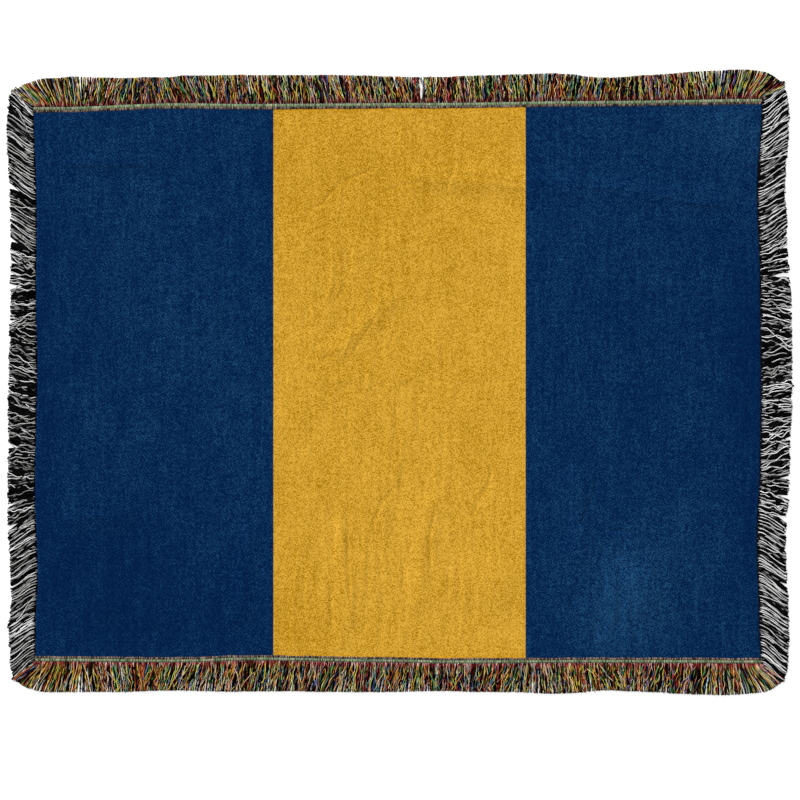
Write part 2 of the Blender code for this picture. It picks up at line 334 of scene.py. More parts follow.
REACHES = {
    Side.LEFT: (
        ReachRow(-544, 45), ReachRow(-515, 50), ReachRow(-449, 54), ReachRow(-400, 52),
        ReachRow(-305, 53), ReachRow(-216, 54), ReachRow(-139, 53), ReachRow(-60, 56),
        ReachRow(25, 55), ReachRow(94, 53), ReachRow(172, 50), ReachRow(260, 50),
        ReachRow(327, 53), ReachRow(443, 55), ReachRow(482, 53), ReachRow(515, 49),
        ReachRow(542, 43),
    ),
    Side.RIGHT: (
        ReachRow(-544, 46), ReachRow(-515, 53), ReachRow(-459, 58), ReachRow(-333, 58),
        ReachRow(-290, 55), ReachRow(-178, 58), ReachRow(-110, 58), ReachRow(-60, 61),
        ReachRow(94, 61), ReachRow(180, 60), ReachRow(230, 55), ReachRow(360, 54),
        ReachRow(443, 58), ReachRow(482, 56), ReachRow(515, 51), ReachRow(542, 44),
    ),
    Side.TOP: (
        ReachRow(-707, 48), ReachRow(-685, 55), ReachRow(-659, 57), ReachRow(-625, 60),
        ReachRow(-585, 57), ReachRow(-540, 54), ReachRow(-430, 52), ReachRow(-400, 56),
        ReachRow(-291, 58), ReachRow(-150, 57), ReachRow(60, 52), ReachRow(185, 54),
        ReachRow(290, 56), ReachRow(389, 47), ReachRow(490, 51), ReachRow(583, 56),
        ReachRow(650, 59), ReachRow(680, 56), ReachRow(703, 49),
    ),
    Side.BOTTOM: (
        ReachRow(-707, 53), ReachRow(-680, 60), ReachRow(-659, 61), ReachRow(-580, 60),
        ReachRow(-427, 56), ReachRow(-291, 62), ReachRow(-150, 60), ReachRow(-20, 59),
        ReachRow(97, 55), ReachRow(180, 57), ReachRow(240, 58), ReachRow(290, 61),
        ReachRow(330, 60), ReachRow(388, 55), ReachRow(480, 57), ReachRow(560, 61),
        ReachRow(622, 63), ReachRow(680, 59), ReachRow(703, 51),
    ),
}

PARTINGS = {
    Side.LEFT: (
        Parting(381, 4.0), Parting(276, 3.5), Parting(257, 2.5), Parting(234, 3.0),
        Parting(212, 2.5), Parting(187, 4.5, 0.55), Parting(117, 4.0), Parting(-123, 4.0),
        Parting(-240, 3.0), Parting(-282, 4.5),
    ),
    Side.RIGHT: (
        Parting(284, 3.5), Parting(265, 3.5), Parting(240, 3.0), Parting(211, 4.5, 0.75),
        Parting(141, 2.5), Parting(71, 2.5), Parting(-108, 4.0), Parting(-185, 3.5), Parting(-224, 3.0),
        Parting(-267, 4.5), Parting(-395, 3.5),
    ),
    Side.TOP: (Parting(388, 1.0),),
    Side.BOTTOM: (),
}


def bump_of(distance: np.ndarray) -> np.ndarray:
    """A crest's section, cos^4 of a quarter turn: 1 on the crest, 0 at a distance of 1."""
    return np.cos(np.clip(distance, 0, 1) * math.pi / 2) ** 4


def away_from(line_mm: tuple, x: np.ndarray, y: np.ndarray) -> tuple[np.ndarray, np.ndarray]:
    """Where points lie along a line of straight runs, and how far off it they are.

    Args:
        line_mm: The line's points, in millimetres.
        x: The points' x.
        y: The points' y.

    Returns:
        The share of the line at each point's foot, from 0 to 1, and the distance from there.
    """
    corners = np.array(line_mm, float) * MM
    runs = np.diff(corners, axis=0)
    lengths = np.hypot(*runs.T)
    nearest, share = np.full_like(x, np.inf), np.zeros_like(x)
    for start, run, length, before in zip(corners, runs, lengths, np.cumsum(lengths) - lengths):
        foot = np.clip(((x - start[0]) * run[0] + (y - start[1]) * run[1]) / length**2, 0, 1)
        away = np.hypot(x - start[0] - foot * run[0], y - start[1] - foot * run[1])
        share = np.where(away < nearest, (before + foot * length) / lengths.sum(), share)
        nearest = np.minimum(away, nearest)
    return share, nearest


def lattice_noise(x: np.ndarray, y: np.ndarray, wide: float, tall: float, seed: int) -> np.ndarray:
    """Smooth noise: drawn values on a lattice, joined by smooth steps across each cell.

    Args:
        x: Places, in metres.
        y: Places, in metres.
        wide: A cell's size along x.
        tall: A cell's size along y.
        seed: Which values to draw.

    Returns:
        The noise at each place, from -1 to 1.
    """
    values = np.random.default_rng(seed).uniform(-1, 1, (NOISE_CELLS + 1, NOISE_CELLS + 1))
    column, row = np.floor(x / wide), np.floor(y / tall)
    right, up = smooth(x / wide - column), smooth(y / tall - row)
    i, j = column.astype(int) % NOISE_CELLS, row.astype(int) % NOISE_CELLS
    low = values[i, j] * (1 - right) + values[i + 1, j] * right
    high = values[i, j + 1] * (1 - right) + values[i + 1, j + 1] * right
    return low * (1 - up) + high * up


def drift(along: np.ndarray, spacing: float, seed: int) -> np.ndarray:
    """Smooth noise along a line, from -1 to 1, whose drawn values lie this far apart."""
    return lattice_noise(along, np.zeros_like(along), spacing, 1.0, seed)


def new_piece(
    name: str,
    points: np.ndarray,
    faces: list[np.ndarray],
    material: bpy.types.Material,
) -> bpy.types.Object:
    """Makes a mesh object at the origin that rides on the blanket.

    Args:
        name: The piece's name.
        points: Its points, one row each.
        faces: Arrays of faces, each with its own number of corners.
        material: Its finish.

    Returns:
        The new object, shaded smooth.
    """
    mesh = bpy.data.meshes.new(name)
    rows = [row for block in faces for row in block.tolist()]
    mesh.from_pydata(points.reshape(-1, 3).tolist(), [], rows)
    mesh.materials.append(material)
    mesh.shade_smooth()
    piece = bpy.data.objects.new(name, mesh)
    bpy.context.scene.collection.objects.link(piece)
    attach(piece, "root")
    triangles = sum(block.shape[0] * (block.shape[1] - 2) for block in faces)
    LOG.info("%s: %d triangles", name, triangles)
    return piece


def set_corner_map(piece: bpy.types.Object, corners: np.ndarray) -> None:
    """Gives a piece its UV map.

    Args:
        piece: The piece.
        corners: The two map values of each face corner, in the order of the faces.
    """
    layer = piece.data.uv_layers.new(name="lay")
    layer.uv.foreach_set("vector", corners.astype(np.float32).ravel())


def set_point_colour(piece: bpy.types.Object, name: str, colours: np.ndarray) -> None:
    """Gives a piece a colour at each point.

    Args:
        piece: The piece.
        name: The attribute's name.
        colours: Linear red, green and blue, one row for each point.
    """
    layer = piece.data.color_attributes.new(name=name, type="FLOAT_COLOR", domain="POINT")
    flat = colours.reshape(-1, 3)
    whole = np.concatenate((flat, np.ones((len(flat), 1))), axis=1)
    layer.data.foreach_set("color", whole.astype(np.float32).ravel())


class Nodes:
    """A material's node tree, built one call at a time."""

    def __init__(self, name: str) -> None:
        """Starts a material of this name that holds its shader alone."""
        self.material = bpy.data.materials.new(name)
        self.material.use_nodes = True
        self.tree = self.material.node_tree
        self.shader = self.tree.nodes["Principled BSDF"]

    def add(self, kind: str, settings: dict | None = None, **links) -> bpy.types.Node:
        """Adds a node.

        Args:
            kind: The node's type, without its ShaderNode prefix.
            settings: Its properties, such as operation or data_type.
            links: Its inputs by name or by number after an underscore. Each is a socket to
                link or a value to set.

        Returns:
            The new node.
        """
        node = self.tree.nodes.new("ShaderNode" + kind)
        for key, value in (settings or {}).items():
            setattr(node, key, value)
        for key, value in links.items():
            number = key[1:]
            socket = node.inputs[int(number) if number.isdigit() else key.replace("_", " ")]
            if isinstance(value, bpy.types.NodeSocket):
                self.tree.links.new(value, socket)
            else:
                socket.default_value = value
        return node

    def math(self, operation: str, first, second=0.0, third=0.0) -> bpy.types.NodeSocket:
        """Adds a Math node and returns its result."""
        settings = {"operation": operation}
        return self.add("Math", settings, _0=first, _1=second, _2=third).outputs[0]

    def ramp(self, value, low: float, high: float, to_low=0.0, to_high=1.0) -> bpy.types.NodeSocket:
        """Adds a smooth Map Range node from low to high and returns its result."""
        settings = {"interpolation_type": "SMOOTHSTEP"}
        node = self.add(
            "MapRange", settings, Value=value, From_Min=low, From_Max=high,
            To_Min=to_low, To_Max=to_high,
        )
        return node.outputs["Result"]

    def mix(self, share, first, second, blend: str = "MIX") -> bpy.types.NodeSocket:
        """Mixes two colours and returns the result.

        Args:
            share: How much of the second colour there is, from 0 to 1.
            first: A socket or a linear colour.
            second: A socket or a linear colour.
            blend: The node's blend type.

        Returns:
            The mixed colour's socket.
        """
        colours = [c if isinstance(c, bpy.types.NodeSocket) else (*c, 1.0) for c in (first, second)]
        settings = {"data_type": "RGBA", "blend_type": blend}
        node = self.add("Mix", settings, _0=share, _6=colours[0], _7=colours[1])
        return node.outputs[2]

    def link(self, source: bpy.types.NodeSocket, name: str) -> None:
        """Links a socket to one of the shader's inputs."""
        self.tree.links.new(source, self.shader.inputs[name])


@dataclass(frozen=True)
class CottonWeave:
    """Jacquard-woven cotton: matt, its floats in a slanting lattice, its threads uneven in tone.

    Each stripe mixes threads of two tones. The real threads are about 0.5 mm across, too fine to
    show, so they are drawn 1.9 mm wide. More of the light tone shows in patches of painted light
    and less in patches of painted shade, over a random unevenness.
    """

    navy_low: str = "#001d47"
    navy_high: str = "#1f4d75"
    navy_power: float = 2.2
    gold_low: str = "#ad7b03"
    gold_high: str = "#eab643"
    gold_power: float = 1.45
    stripe_blur_mm: float = 0.8
    # At the sides the navy is bluer, and by the heading the gold is redder: the new tone, how
    # much of it there is, and the distances from the edge at which it begins and is full.
    selvedge: str = "#0a4c86"
    selvedge_share: float = 0.25
    selvedge_mm: tuple = (6, 1)
    gold_by_heading: str = "#f0a41a"
    by_heading_share: float = 0.4
    by_heading_mm: tuple = (18, 11)
    # The heading's grounds, darker versions of its ribs' colours as painted shade between the ribs, and
    # how far inside the edge each begins and is full.
    green_ground_in_painted_shade: str = "#4c5f45"
    green_mm: tuple = (6.0, 5.2)
    brown_ground_in_painted_shade: str = "#4a3f38"
    brown_mm: tuple = (10.6, 9.8)
    ground_waver_mm: float = 0.7
    ground_waver_every_mm: float = 18
    thread_wide_mm: float = 1.9
    thread_tall_mm: float = 2.0
    thread_share: float = 0.82
    # Unevenness drawn out along x and y, in millimetres, and the shares of it in the tone.
    cloud_mm: tuple = (6, 9)
    cloud_share: float = 0.07
    weft_streaks_mm: tuple = (60, 6)
    weft_share: float = 0.10
    fine_warp_streaks_mm: tuple = (6, 60)
    broad_warp_streaks_mm: tuple = (13, 150)
    warp_share: float = 0.13
    gold_warp_share: float = 0.10
    lattice_share: float = 0.07
    # Waves per millimetre along x and y: the third is the first less the second.
    lattice: tuple = ((0.0747, -0.173), (-0.142, -0.116), (0.2167, -0.057))
    relief_strength: float = 0.4
    relief_depth: float = 0.3 * MM
    roughness: float = 1.0
    sheen: float = 0.015
    sheen_roughness: float = 0.6

    def threads(self, nodes: Nodes, place: bpy.types.Node) -> tuple:
        """The threads on top: cells in staggered rows, each with its own drawn tone.

        Args:
            nodes: The material.
            place: The cloth's own flat coordinates, in metres, as separate values.

        Returns:
            The sockets of the drawn tone and of the cell's rounded height, from 0 to 1.
        """
        row = nodes.math("DIVIDE", place.outputs["Y"], self.thread_tall_mm * MM)
        row_number = nodes.math("FLOOR", row)
        shift = nodes.math("MULTIPLY", row_number, 0.5)
        column = nodes.math("DIVIDE", place.outputs["X"], self.thread_wide_mm * MM)
        column = nodes.math("ADD", column, shift)
        cell = nodes.add("CombineXYZ", X=nodes.math("FLOOR", column), Y=row_number, Z=0.0)
        tone = nodes.add("TexWhiteNoise", {"noise_dimensions": "2D"}, Vector=cell.outputs[0])
        across = nodes.math("SINE", nodes.math("MULTIPLY", nodes.math("FRACT", column), math.pi))
        upward = nodes.math("SINE", nodes.math("MULTIPLY", nodes.math("FRACT", row), math.pi))
        return tone.outputs["Value"], nodes.math("MULTIPLY", across, upward)

    def floats(self, nodes: Nodes, place: bpy.types.Node) -> bpy.types.NodeSocket:
        """The floats' lattice: the sum of three cosine waves, whose crests meet in dots."""
        total = 0.0
        for along, upward in self.lattice:
            turns = nodes.math("MULTIPLY", place.outputs["Y"], upward / MM)
            turns = nodes.math("MULTIPLY_ADD", place.outputs["X"], along / MM, turns)
            wave = nodes.math("COSINE", nodes.math("MULTIPLY", turns, 2 * math.pi))
            total = nodes.math("ADD", wave, total)
        return total

    def streaks(self, nodes: Nodes, lay, size_mm: tuple) -> bpy.types.NodeSocket:
        """Noise drawn out to this size along x and y, from -0.5 to 0.5."""
        scale = (1 / (size_mm[0] * MM), 1 / (size_mm[1] * MM), 1.0)
        stretched = nodes.add("Mapping", Vector=lay, Scale=scale).outputs[0]
        noise = nodes.add("TexNoise", Vector=stretched, Scale=1.0, Detail=2.0, Roughness=0.6)
        return nodes.ramp(noise.outputs["Fac"], 0.28, 0.72, -0.5, 0.5)

    def tone(self, nodes: Nodes, lay, thread, floats) -> bpy.types.NodeSocket:
        """How much of the light tone shows, before the streaks along the warp.

        It is the cloth's tone, with its painted light and shade in broad patches over a random
        unevenness, plus shares of the threads, of the floats, of a cloudiness and of streaks along
        the weft.

        Args:
            nodes: The material.
            lay: The cloth's map.
            thread: The threads' drawn tone.
            floats: The floats' lattice.

        Returns:
            The tone, mostly from 0 to 1.
        """
        # The point attribute holds painted light and shade in broad patches, over a random unevenness of
        # tone.
        tone_and_painted_light = nodes.add("Attribute", {"attribute_name": "tone_and_painted_light"}).outputs["Fac"]
        tone = nodes.math("MULTIPLY_ADD", nodes.math("SUBTRACT", thread, 0.5), self.thread_share, tone_and_painted_light)
        tone = nodes.math("MULTIPLY_ADD", floats, self.lattice_share, tone)
        cloud = self.streaks(nodes, lay, self.cloud_mm)
        tone = nodes.math("MULTIPLY_ADD", cloud, self.cloud_share, tone)
        weft = self.streaks(nodes, lay, self.weft_streaks_mm)
        return nodes.math("MULTIPLY_ADD", weft, self.weft_share, tone)

    def edge_ramp(
        self, nodes: Nodes, inside, begins_and_full_mm: tuple, share: float = 1.0
    ) -> bpy.types.NodeSocket:
        """Rises from 0 to a share, between two distances inside an edge."""
        begins, full = (distance * MM for distance in begins_and_full_mm)
        return nodes.ramp(inside, begins, full, 0.0, share)

    def edged(self, nodes: Nodes, place, tone, navy, gold) -> tuple:
        """Tints both stripes where they end: bluer navy at the sides, redder gold by the heading.

        Args:
            nodes: The material.
            place: The cloth's own flat coordinates.
            tone: How much of the light thread shows.
            navy: The navy stripes' colour.
            gold: The gold stripe's colour.

        Returns:
            The two tinted colours.
        """
        from_side = self.inset(nodes, place.outputs["X"], CLOTH_X)
        near_side = self.edge_ramp(nodes, from_side, self.selvedge_mm, self.selvedge_share)
        blue = nodes.mix(tone, linear(self.navy_low), linear(self.selvedge))
        from_end = self.inset(nodes, place.outputs["Y"], CLOTH_Y)
        near_heading = self.edge_ramp(nodes, from_end, self.by_heading_mm, self.by_heading_share)
        red_gold = nodes.mix(tone, linear(self.gold_low), linear(self.gold_by_heading))
        return nodes.mix(near_side, navy, blue), nodes.mix(near_heading, gold, red_gold)

    def inset(self, nodes: Nodes, along, edges: tuple) -> bpy.types.NodeSocket:
        """How far inside the nearer one of two opposite edges a coordinate lies."""
        low, high = edges
        off = nodes.math("ABSOLUTE", nodes.math("SUBTRACT", along, (low + high) / 2))
        return nodes.math("SUBTRACT", (high - low) / 2, off)

    def with_heading(self, nodes: Nodes, lay, place, ground) -> bpy.types.NodeSocket:
        """Lays the heading's two grounds, brown and outside it green, over the stripes' ends: darkened as
        painted shade between the ribs.
        """
        scale = 1 / (self.ground_waver_every_mm * MM)
        waver = nodes.add("TexNoise", Vector=lay, Scale=scale, Detail=1.0).outputs["Fac"]
        waver = nodes.ramp(waver, 0.3, 0.7, -1.0, 1.0)
        from_end = self.inset(nodes, place.outputs["Y"], CLOTH_Y)
        from_end = nodes.math("MULTIPLY_ADD", waver, self.ground_waver_mm * MM, from_end)
        is_brown = self.edge_ramp(nodes, from_end, self.brown_mm)
        is_green = self.edge_ramp(nodes, from_end, self.green_mm)
        brown = nodes.mix(is_brown, ground, linear(self.brown_ground_in_painted_shade))
        return nodes.mix(is_green, brown, linear(self.green_ground_in_painted_shade))

    def make(self) -> bpy.types.Material:
        """Builds the material.

        Returns:
            The material, which reads the cloth's map and its point attribute of painted light and shade,
            in broad lighter and darker patches over a random unevenness of tone.
        """
        nodes = Nodes("jacquard_cotton_weave")
        lay = nodes.add("UVMap", {"uv_map": "lay"}).outputs["UV"]
        place = nodes.add("SeparateXYZ", Vector=lay)
        thread, pillow = self.threads(nodes, place)
        base = self.tone(nodes, lay, thread, self.floats(nodes, place))
        fine_warp = self.streaks(nodes, lay, self.fine_warp_streaks_mm)
        broad_warp = self.streaks(nodes, lay, self.broad_warp_streaks_mm)
        warp = nodes.math("ADD", fine_warp, broad_warp)
        tone = nodes.add("Clamp", Value=nodes.math("MULTIPLY_ADD", warp, self.warp_share, base))
        tone = tone.outputs[0]
        gold_tone = nodes.math("MULTIPLY_ADD", warp, self.gold_warp_share, base)
        gold_tone = nodes.add("Clamp", Value=gold_tone).outputs[0]
        sparse = nodes.math("POWER", tone, self.navy_power)
        dense = nodes.math("POWER", nodes.math("SUBTRACT", 1.0, gold_tone), self.gold_power)
        navy = nodes.mix(sparse, linear(self.navy_low), linear(self.navy_high))
        gold = nodes.mix(dense, linear(self.gold_high), linear(self.gold_low))
        blur = self.stripe_blur_mm * MM
        from_middle = nodes.math("ABSOLUTE", place.outputs["X"])
        is_gold = nodes.ramp(from_middle, GOLD_HALF_WIDTH + blur, GOLD_HALF_WIDTH - blur)
        navy, gold = self.edged(nodes, place, tone, navy, gold)
        ground = self.with_heading(nodes, lay, place, nodes.mix(is_gold, navy, gold))
        nodes.link(ground, "Base Color")
        relief = nodes.math("MULTIPLY_ADD", thread, 0.5, pillow)
        bump = nodes.add("Bump", Height=relief, Strength=self.relief_strength, Distance=self.relief_depth)
        nodes.link(bump.outputs["Normal"], "Normal")
        nodes.shader.inputs["Roughness"].default_value = self.roughness
        nodes.shader.inputs["Specular IOR Level"].default_value = 0.0
        nodes.shader.inputs["Sheen Weight"].default_value = self.sheen
        nodes.shader.inputs["Sheen Roughness"].default_value = self.sheen_roughness
        return nodes.material


@dataclass(frozen=True)
class PliedYarn:
    """Cotton yarn of two plies: matt, slightly hairy, ridged by its twist, with painted shade between the
    plies and painted light on them.
    """

    name: str
    twist_mm: float = 3.2
    painted_ply_shading: tuple = (0.9, 1.05)  # painted shade between the plies, and painted light on them
    relief_strength: float = 0.3
    relief_depth: float = 0.25 * MM
    roughness: float = 0.9
    gloss: float = 0.04

    def make(self) -> bpy.types.Material:
        """Builds the material.

        Returns:
            The material, which reads the yarn's "dye" attribute, which in the fringes also holds painted
            shade, and, for the twist, its map.
        """
        nodes = Nodes(self.name)
        dye = nodes.add("Attribute", {"attribute_name": "dye"})
        lay = nodes.add("UVMap", {"uv_map": "lay"}).outputs["UV"]
        place = nodes.add("SeparateXYZ", Vector=lay)
        turns = nodes.math(
            "MULTIPLY_ADD", place.outputs["Y"], 1 / (self.twist_mm * MM),
            nodes.math("MULTIPLY", place.outputs["X"], 2.0),
        )
        ply = nodes.math("SINE", nodes.math("MULTIPLY", turns, 2 * math.pi))
        # Painted shade between the plies and painted light on them, scaling the dye along the twist.
        shade = nodes.ramp(ply, -1.0, 1.0, *self.painted_ply_shading)
        shaded = nodes.add("VectorMath", {"operation": "SCALE"}, _0=dye.outputs["Color"], Scale=shade)
        nodes.link(shaded.outputs[0], "Base Color")
        bump = nodes.add("Bump", Height=ply, Strength=self.relief_strength, Distance=self.relief_depth)
        nodes.link(bump.outputs["Normal"], "Normal")
        nodes.shader.inputs["Roughness"].default_value = self.roughness
        nodes.shader.inputs["Specular IOR Level"].default_value = self.gloss
        return nodes.material


@dataclass
class Cloth:
    """The woven sheet, with its stripes and headings in one piece."""

    left: float = CLOTH_X[0]
    right: float = CLOTH_X[1]
    bottom: float = CLOTH_Y[0]
    top: float = CLOTH_Y[1]
    thickness: float = 2.4 * MM
    edge_thickness: float = 1.7 * MM
    thins_within: float = 7 * MM
    flat_rim: float = 45 * MM
    uncreased_rim: tuple = (4 * MM, 26 * MM)
    outline_points: int = 480
    # The grid's steps along x and y: the usual one, and the closer one for the creases.
    steps_x: tuple = (4.9 * MM, 2.6 * MM)
    steps_y: tuple = (5.6 * MM, 3.2 * MM)
    close_columns: tuple = ((-192, 186), (326, 424))
    close_rows: tuple = ((-296, -258), (50, 205), (338, 436))
    band_blend: tuple = (2 * MM, 12 * MM)  # how far outside a span the spacing changes
    spread_probes: int = 4000
    under_every: int = 4  # the unseen face has one cell for this many of the upper face's
    crease_width: float = 0.9  # how wide and how high the placed creases are, as shares
    crease_lift: float = 1.5
    crease_end: float = 0.2  # the share of its height that a crease has at its ends
    # Wrinkles drawn by chance, in millimetres: the bent ones wander from side to side.
    wrinkles: tuple = (
        NoiseRow(9, 62, 0.2, 6, if_rumpled=0.8, is_bent=True),
        NoiseRow(17, 110, 0.14, 7, if_rumpled=0.56, is_bent=True),
        NoiseRow(60, 13, 0.12, 8, if_rumpled=0.12),
        NoiseRow(70, 90, 0.9, 9),
    )
    wander: NoiseRow = NoiseRow(110, 110, 9, 5)
    tone_level: float = 0.40
    # Patches of painted light, and of painted shade where the last number is below 0: the last number is
    # in parts of the tone.
    painted_light_rows: tuple = (
        PatchRow(-400, 300, 300, 420, 0.07),
        PatchRow(-300, 40, 220, 330, 0.07),
        PatchRow(-560, -400, 330, 320, -0.20),
        PatchRow(-330, -470, 200, 160, -0.10),
        PatchRow(-190, -470, 110, 160, -0.08),
        PatchRow(-130, 380, 260, 260, -0.11),
        PatchRow(0, -300, 240, 360, 0.06),
        PatchRow(180, -380, 170, 300, 0.05),
        PatchRow(430, -430, 170, 210, 0.33),
        PatchRow(540, -330, 160, 180, 0.10),
        PatchRow(640, 500, 260, 140, 0.18),
        PatchRow(400, 370, 260, 130, 0.10),
        PatchRow(720, 20, 170, 460, -0.24),
        PatchRow(690, -330, 80, 260, -0.14),
        PatchRow(430, 110, 180, 130, -0.06),
        PatchRow(300, -250, 100, 90, 0.08),
        PatchRow(-700, 0, 60, 700, -0.18),
        PatchRow(70, 430, 240, 240, -0.06),
    )
    nap_noise: tuple = (NoiseRow(45, 70, 0.055, 11), NoiseRow(13, 22, 0.035, 12))
    # Where the cloth is rumpled: the last number is how much.
    rumple_rows: tuple = (
        PatchRow(0, -280, 260, 420, 0.8),
        PatchRow(-140, -420, 200, 260, 0.6),
        PatchRow(430, -400, 260, 260, 0.9),
        PatchRow(-80, 150, 200, 260, 0.5),
        PatchRow(-350, -60, 400, 300, 0.3),
        PatchRow(420, 200, 300, 300, 0.35),
        PatchRow(-350, 320, 400, 260, 0.3),
    )

    def drawn_in(self, side: Side, along: np.ndarray) -> np.ndarray:
        """How far a side is drawn in, from its table, in metres."""
        return eased(EDGES[side], along / MM) * MM

    def moved(self, x: np.ndarray, y: np.ndarray) -> tuple[np.ndarray, np.ndarray]:
        """Where points of the flat cloth lie once its edges are drawn in.

        A side pulls fully at its edge, and less in proportion up to the gold band, or up to
        the middle for the top and the bottom.

        Args:
            x: Flat places along the long edges.
            y: Flat places along the short edges.

        Returns:
            The places where they lie.
        """
        half = GOLD_HALF_WIDTH
        left = np.clip((-half - x) / (-half - self.left), 0, 1)
        right = np.clip((x - half) / (self.right - half), 0, 1)
        top, bottom = np.clip(y / self.top, 0, 1), np.clip(y / self.bottom, 0, 1)
        at_x = x + left * self.drawn_in(Side.LEFT, y) - right * self.drawn_in(Side.RIGHT, y)
        at_y = y - top * self.drawn_in(Side.TOP, x) + bottom * self.drawn_in(Side.BOTTOM, x)
        return at_x, at_y

    def fold_height(self, x: np.ndarray, y: np.ndarray) -> np.ndarray:
        """How high the underside stands: as high as the highest fold or swell there.

        Args:
            x: Where the points lie.
            y: Where the points lie.

        Returns:
            Heights over the floor, 0 where the cloth is flat and near its edges.
        """
        height = np.zeros_like(x)
        for fold in FOLDS:
            ends = ((fold.x1_mm, fold.y1_mm), (fold.x2_mm, fold.y2_mm))
            _, away = away_from(ends, x, y)
            ridge = bump_of(away / (fold.half_width_mm * MM)) * fold.height_mm * MM
            height = np.maximum(height, ridge)
        for swell in SWELLS:
            height = np.maximum(height, bump_of(swell.share_off(x, y)) * swell.height * MM)
        to_edge = self.from_edge(x, y)
        return height * soft_step(to_edge, self.flat_rim, 2 * self.flat_rim)

    def crease_height(self, x: np.ndarray, y: np.ndarray) -> np.ndarray:
        """The creases' height on the upper face, on top of the folds.

        It is the sum of the placed creases, each a crest that dies away at both its ends, and
        of the wrinkles, most of them drawn out along the stripes.

        Args:
            x: Where the points lie.
            y: Where the points lie.

        Returns:
            Heights to add to the upper face.
        """
        height = np.zeros_like(x)
        for crease in CREASES:
            share, away = away_from(crease.line_mm, x, y)
            middle = np.clip(4 * share * (1 - share), 0, 1) ** 0.3
            wide = self.crease_width * crease.half_width_mm * MM
            high = self.crease_lift * crease.height_mm * MM
            fade = self.crease_end + (1 - self.crease_end) * middle
            height += bump_of(away / wide) * fade * high
        rumpled = self.patches(self.rumple_rows, x, y)
        bent = x + self.noise(self.wander, x, y) * MM
        for row in self.wrinkles:
            noise = self.noise(row, bent if row.is_bent else x, y, rumpled)
            height += noise * MM
        return height * soft_step(self.from_edge(x, y), *self.uncreased_rim)

    @staticmethod
    def noise(row: NoiseRow, x: np.ndarray, y: np.ndarray, rumpled=0.0) -> np.ndarray:
        """One layer of noise at its own height, with more of it where the cloth is rumpled."""
        size = row.height + row.if_rumpled * rumpled
        return size * lattice_noise(x, y, row.wide_mm * MM, row.tall_mm * MM, row.seed)

    def from_edge(self, x: np.ndarray, y: np.ndarray) -> np.ndarray:
        """How far inside the nearest edge points lie."""
        return np.minimum.reduce((x - self.left, self.right - x, y - self.bottom, self.top - y))

    def body(self, inset: np.ndarray) -> np.ndarray:
        """The cloth's thickness at a distance inside its edge, where it thins."""
        inside = soft_step(inset, -1 * MM, self.thins_within)
        return self.edge_thickness + (self.thickness - self.edge_thickness) * inside

    def patches(self, rows: tuple, x: np.ndarray, y: np.ndarray) -> np.ndarray:
        """The sum of soft round patches, each a crest a quarter wider than its row's radii."""
        total = np.zeros_like(x)
        for patch in rows:
            total += patch.height * bump_of(0.8 * patch.share_off(x, y))
        return total

    def tone_and_painted_light(self, x: np.ndarray, y: np.ndarray) -> np.ndarray:
        """The cloth's tone with painted light and shade: placed lighter and darker patches over a level
        and a slow random unevenness.
        """
        uneven = sum(self.noise(row, x, y) for row in self.nap_noise)
        return self.tone_level + self.patches(self.painted_light_rows, x, y) + uneven

    def edge(self, side: Side) -> np.ndarray:
        """The outline of one side, in the order in which places along it are counted."""
        count = self.outline_points
        across = np.linspace(self.left, self.right, count)
        upward = np.linspace(self.bottom, self.top, count)
        flat = {
            Side.TOP: (across, np.full(count, self.top)),
            Side.RIGHT: (np.full(count, self.right), upward[::-1]),
            Side.BOTTOM: (across[::-1], np.full(count, self.bottom)),
            Side.LEFT: (np.full(count, self.left), upward),
        }[side]
        return np.stack(self.moved(*flat), axis=-1)

    def build(self, finish: bpy.types.Material) -> bpy.types.Object:
        """Builds the sheet: a fine grid over a coarser one, and a wall round the rim.

        Args:
            finish: The weave.

        Returns:
            The piece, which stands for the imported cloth.
        """
        every = self.under_every
        columns = self.spread(self.left, self.right, self.steps_x, self.close_columns)
        rows = self.spread(self.bottom, self.top, self.steps_y, self.close_rows)
        across, up = len(columns), len(rows)
        flat_x, flat_y = np.meshgrid(columns, rows, indexing="ij")
        x, y = self.moved(flat_x, flat_y)
        under = self.fold_height(x, y)
        over = under + self.body(self.from_edge(flat_x, flat_y)) + self.crease_height(x, y)
        upper = np.stack((x, y, over), axis=-1).reshape(-1, 3)
        coarse = (slice(None, None, every), slice(None, None, every))
        lower = np.stack((x[coarse], y[coarse], under[coarse]), axis=-1).reshape(-1, 3)
        top_number = np.arange(across * up).reshape(across, up)
        low_number = top_number.size + np.arange(len(lower)).reshape(under[coarse].shape)
        top_rim = self.rim(top_number)
        low_rim = self.rim(low_number)
        steps = np.arange(every, -1, -1)
        along = (np.arange(len(low_rim))[:, None] * every + steps) % len(top_rim)
        wall = np.concatenate((low_rim[:, None], np.roll(low_rim, -1)[:, None], top_rim[along]), axis=1)
        faces = [self.cells(top_number), self.cells(low_number)[:, ::-1], wall]
        points = np.concatenate((upper, lower))
        piece = new_piece("woven_cloth", points, faces, finish)
        flat = np.stack((flat_x, flat_y), axis=-1)
        flat = np.concatenate((flat.reshape(-1, 2), flat[coarse].reshape(-1, 2)))
        set_corner_map(piece, np.concatenate([flat[block.ravel()] for block in faces]))
        # Painted light and shade: broad lighter and darker patches on the cloth's tone, stored at each
        # point.
        shade = self.tone_and_painted_light(x, y)
        shade = np.concatenate((shade.ravel(), shade[coarse].ravel()))
        set_point_colour(piece, "tone_and_painted_light", np.repeat(shade[:, None], 3, axis=1))
        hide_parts("cloth")
        return piece

